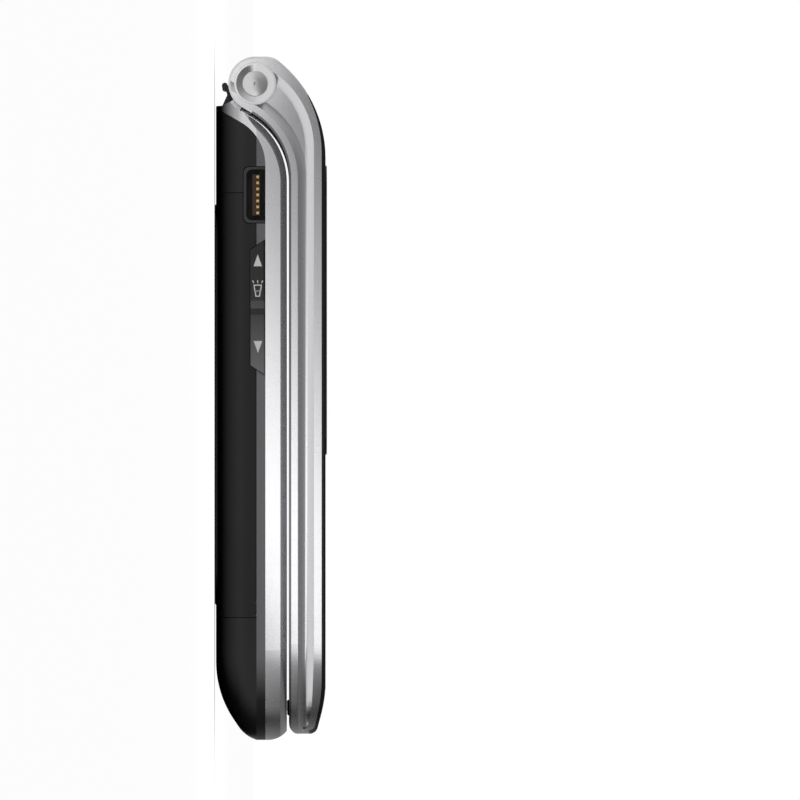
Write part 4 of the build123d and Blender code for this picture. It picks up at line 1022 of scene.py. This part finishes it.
# %% Camera
PIXEL = 0.1533 * MM
PICTURE = 800
FLOOR_COLUMN = 214.5
SENSOR = 36.0
LENS = 900.0
MID_HEIGHT = 8.6 * MM
side_x = cad_box[0].x
distance = PIXEL * PICTURE * LENS / SENSOR
camera_data = bpy.data.cameras.new("side_camera")
camera = bpy.data.objects.new("side_camera", camera_data)
bpy.context.scene.collection.objects.link(camera)
camera_data.lens = LENS
camera_data.sensor_width = SENSOR
camera_data.clip_start = 0.1
camera_data.clip_end = 60.0
eye = Vector((side_x - distance, 0.0, MID_HEIGHT))
aim = Vector((side_x, -PIXEL, (PICTURE / 2 - FLOOR_COLUMN) * PIXEL))
look = (aim - eye).normalized()
up = Vector((0, 1, 0))
right = look.cross(up).normalized()
up = right.cross(look).normalized()
camera.matrix_world = Matrix((
    (right.x, up.x, -look.x, eye.x),
    (right.y, up.y, -look.y, eye.y),
    (right.z, up.z, -look.z, eye.z),
    (0, 0, 0, 1),
))
bpy.context.scene.camera = camera
print("camera", round(distance, 3), "m from the side")

# %% [markdown]
# ## Floor and surroundings
#
# The phone rests on a pale floor that keeps its soft shadow. The camera sees a white world, and so
# do clear parts. What shines sees a studio tent that is not evenly bright: bright towards the hinge
# end, less so at the sides, dark towards the free end and the roof. In reflections the floor glows
# with a painted tone in place of its lit paper: a painted shadow under the phone, painted light
# beside it, and further out a fade to the tone of the tent's foot, so no hard horizon is drawn
# across the round parts.

# %% Brightness of the tent
TENT_FREE_END, TENT_SIDES, TENT_HINGE_END, TENT_ROOF = 0.05, 0.25, 0.7, 0.13


def tent_foot(tree, x, y):
    """Brightness at the foot of the tent from the two level parts of a direction."""
    sideways = math_node(tree, "POWER", math_node(tree, "ABSOLUTE", x), 3.0)
    ahead = math_node(tree, "POWER", math_node(tree, "MAXIMUM", y, 0.0), 2.0)
    foot = math_node(tree, "MULTIPLY_ADD", sideways, TENT_SIDES, TENT_FREE_END)
    return math_node(tree, "ADD", foot, math_node(tree, "MULTIPLY", ahead, TENT_HINGE_END))


def ray_kinds(tree):
    """Whether a ray is seen, straight or through clear parts, and the kinds of ray."""
    rays = tree.nodes.new("ShaderNodeLightPath").outputs
    seen = math_node(tree, "ADD", rays["Is Camera Ray"], rays["Is Transmission Ray"], clamp=True)
    return seen, rays


# %% Floor and its painted tone in reflections
FLOOR_SIZE, FLOOR_DROP = 14, 0.05 * MM
SHADOW_UNDER_PHONE, FAR_OUT = (18 * MM, 26 * MM), (60 * MM, 260 * MM)
BESIDE_TONE = 0.75
free_hands()
bpy.ops.mesh.primitive_plane_add(size=FLOOR_SIZE, location=(0, 0, -FLOOR_DROP))
floor = bpy.context.object
floor.name = "studio_floor"
paper = bpy.data.materials.new("floor_paper")
paper.use_nodes = True
tree = paper.node_tree
tree.nodes.remove(tree.nodes["Principled BSDF"])
place = tree.nodes.new("ShaderNodeTexCoord").outputs["Object"]
way = tree.nodes.new("ShaderNodeVectorMath")
way.operation = "NORMALIZE"
tree.links.new(place, way.inputs[0])
x, y, _ = axes_of(tree, way.outputs[0])
foot = tent_foot(tree, x, y)
reach = tree.nodes.new("ShaderNodeVectorMath")
reach.operation = "LENGTH"
tree.links.new(place, reach.inputs[0])
far_out = range_node(tree, reach.outputs["Value"], *FAR_OUT, smooth=True)
# Painted shadow for reflections: the floor is dark within the phone's width and lit beside it.
aside = math_node(tree, "ABSOLUTE", axes_of(tree, place)["X"])
past_painted_shadow = range_node(tree, aside, *SHADOW_UNDER_PHONE, smooth=True)
near_tone = math_node(tree, "MULTIPLY", past_painted_shadow, BESIDE_TONE)
# In reflections the floor glows with this painted tone in place of its lit paper.
painted_reflection = tree.nodes.new("ShaderNodeEmission")
tree.links.new(
    mix_node(tree, far_out, near_tone, foot, colours=False), painted_reflection.inputs["Strength"]
)

# %% Floor paper
PAPER_COLOUR = (0.86, 0.86, 0.86, 1.0)
PAPER_GLOW = 0.5
matt = tree.nodes.new("ShaderNodeBsdfDiffuse")
matt.inputs["Color"].default_value = PAPER_COLOUR
glow = tree.nodes.new("ShaderNodeEmission")
seen, rays = ray_kinds(tree)
tree.links.new(math_node(tree, "MULTIPLY", seen, PAPER_GLOW), glow.inputs["Strength"])
lit = tree.nodes.new("ShaderNodeAddShader")
tree.links.new(matt.outputs[0], lit.inputs[0])
tree.links.new(glow.outputs[0], lit.inputs[1])
choose = tree.nodes.new("ShaderNodeMixShader")
tree.links.new(rays["Is Glossy Ray"], choose.inputs["Fac"])
tree.links.new(lit.outputs[0], choose.inputs[1])
tree.links.new(painted_reflection.outputs[0], choose.inputs[2])
tree.links.new(choose.outputs[0], tree.nodes["Material Output"].inputs["Surface"])
floor.data.materials.append(paper)
print("floor", FLOOR_SIZE, "m wide")

# %% World
DIFFUSE_TONE = 0.55
world = bpy.data.worlds.new("studio_tent")
bpy.context.scene.world = world
world.use_nodes = True
tree = world.node_tree
background = tree.nodes["Background"]
background.inputs["Color"].default_value = (1.0, 1.0, 1.0, 1.0)
x, y, z = axes_of(tree, tree.nodes.new("ShaderNodeTexCoord").outputs["Generated"])
above = math_node(tree, "POWER", math_node(tree, "MAXIMUM", z, 0.0), 2.0)
tent = math_node(
    tree, "ADD", tent_foot(tree, x, y), math_node(tree, "MULTIPLY", above, TENT_ROOF)
)
seen, rays = ray_kinds(tree)
glossy = math_node(tree, "MULTIPLY", rays["Is Glossy Ray"], tent)
soft = math_node(tree, "MULTIPLY", rays["Is Diffuse Ray"], DIFFUSE_TONE)
strength = math_node(tree, "ADD", math_node(tree, "ADD", seen, glossy), soft)
tree.links.new(strength, background.inputs["Strength"])
print("world strength depends on the ray")

# %% [markdown]
# ## Graded cards and a roof lamp
#
# A photographer of shiny things puts a card beside them whose brightness changes from end to end.
# One stands at each side of the phone, seen in reflections only. It is brightest along the free
# half, grows darker towards the hinge, and has a bright spot opposite the ear. Its brightness is a
# colour ramp over Y, tilted a little in Z, from the Object coordinates. The roof lamp lights the
# matt parts and the floor and is left out of reflections.

# %% Tone of the cards
CARD_TONES_MM = [
    (-50, 0.30), (-43, 0.35), (-37, 1.3), (-30, 1.38), (-8, 1.38), (0, 1.18), (7.5, 0.98),
    (15, 0.81), (23, 0.65), (30.5, 0.5), (36.6, 0.42), (43, 0.46), (50, 0.3), (56, 0.15),
]
TONE_PEAK = 1.4
CARD_REACH = 60 * MM
CARD_LEAN, LEAN_Z = 2.0, 9 * MM
GLINT_Y, GLINT_Z, GLINT_TONE = 52 * MM, 3.5 * MM, 0.9
GLINT_RADII = (9 * MM, 4 * MM)
grade = bpy.data.materials.new("graded_card")
grade.use_nodes = True
tree = grade.node_tree
tree.nodes.remove(tree.nodes["Principled BSDF"])
_, y, z = axes_of(tree, tree.nodes.new("ShaderNodeTexCoord").outputs["Object"])
lean = math_node(tree, "MULTIPLY", math_node(tree, "SUBTRACT", z, LEAN_Z), CARD_LEAN)
along = range_node(tree, math_node(tree, "ADD", y, lean), -CARD_REACH, CARD_REACH)
ramp = grey_ramp(tree, along, [
    ((spot * MM + CARD_REACH) / (2 * CARD_REACH), tone / TONE_PEAK)
    for spot, tone in CARD_TONES_MM
])
from_glint = square_sum(
    tree, math_node(tree, "SUBTRACT", y, GLINT_Y), math_node(tree, "SUBTRACT", z, GLINT_Z)
)
glint = range_node(tree, math_node(tree, "SQRT", from_glint), *GLINT_RADII, smooth=True)
brightness = math_node(
    tree, "ADD", math_node(tree, "MULTIPLY", ramp, TONE_PEAK),
    math_node(tree, "MULTIPLY", glint, GLINT_TONE),
)
shine = tree.nodes.new("ShaderNodeEmission")
tree.links.new(brightness, shine.inputs["Strength"])
tree.links.new(shine.outputs[0], tree.nodes["Material Output"].inputs["Surface"])

# %% Graded cards
CARD_X, CARD_Y, CARD_Z = 70 * MM, 3 * MM, 11 * MM
CARD_HEIGHT, CARD_LENGTH = 23 * MM, 126 * MM


def graded_card(name, card_x):
    """Upright card beside the phone that only reflections see."""
    free_hands()
    bpy.ops.mesh.primitive_plane_add(
        size=1, location=(card_x, CARD_Y, CARD_Z), rotation=(0, math.pi / 2, 0)
    )
    piece = bpy.context.object
    piece.scale = (CARD_HEIGHT, CARD_LENGTH, 1)
    bpy.ops.object.transform_apply(location=True, rotation=True, scale=True)
    piece.name = name
    piece.data.materials.append(grade)
    piece.visible_camera = False
    piece.visible_diffuse = False
    piece.visible_shadow = False
    piece.visible_transmission = False


graded_card("left_card", -CARD_X)
graded_card("right_card", CARD_X)

# %% Roof lamp
ROOF_SIZE, ROOF_HEIGHT, ROOF_BRIGHTNESS = 0.5, 0.6, 0.6
data = bpy.data.lights.new("roof_softbox", "AREA")
data.size = ROOF_SIZE
data.energy = ROOF_BRIGHTNESS * math.pi * ROOF_SIZE**2
roof = bpy.data.objects.new("roof_softbox", data)
bpy.context.scene.collection.objects.link(roof)
roof.location = (0, 0, ROOF_HEIGHT)
roof.visible_camera = False
roof.visible_glossy = False
print("roof lamp over the phone")

# %% [markdown]
#
# Colours are shown plainly.

# %% Settings and the end
bpy.context.scene.view_settings.view_transform = "Standard"
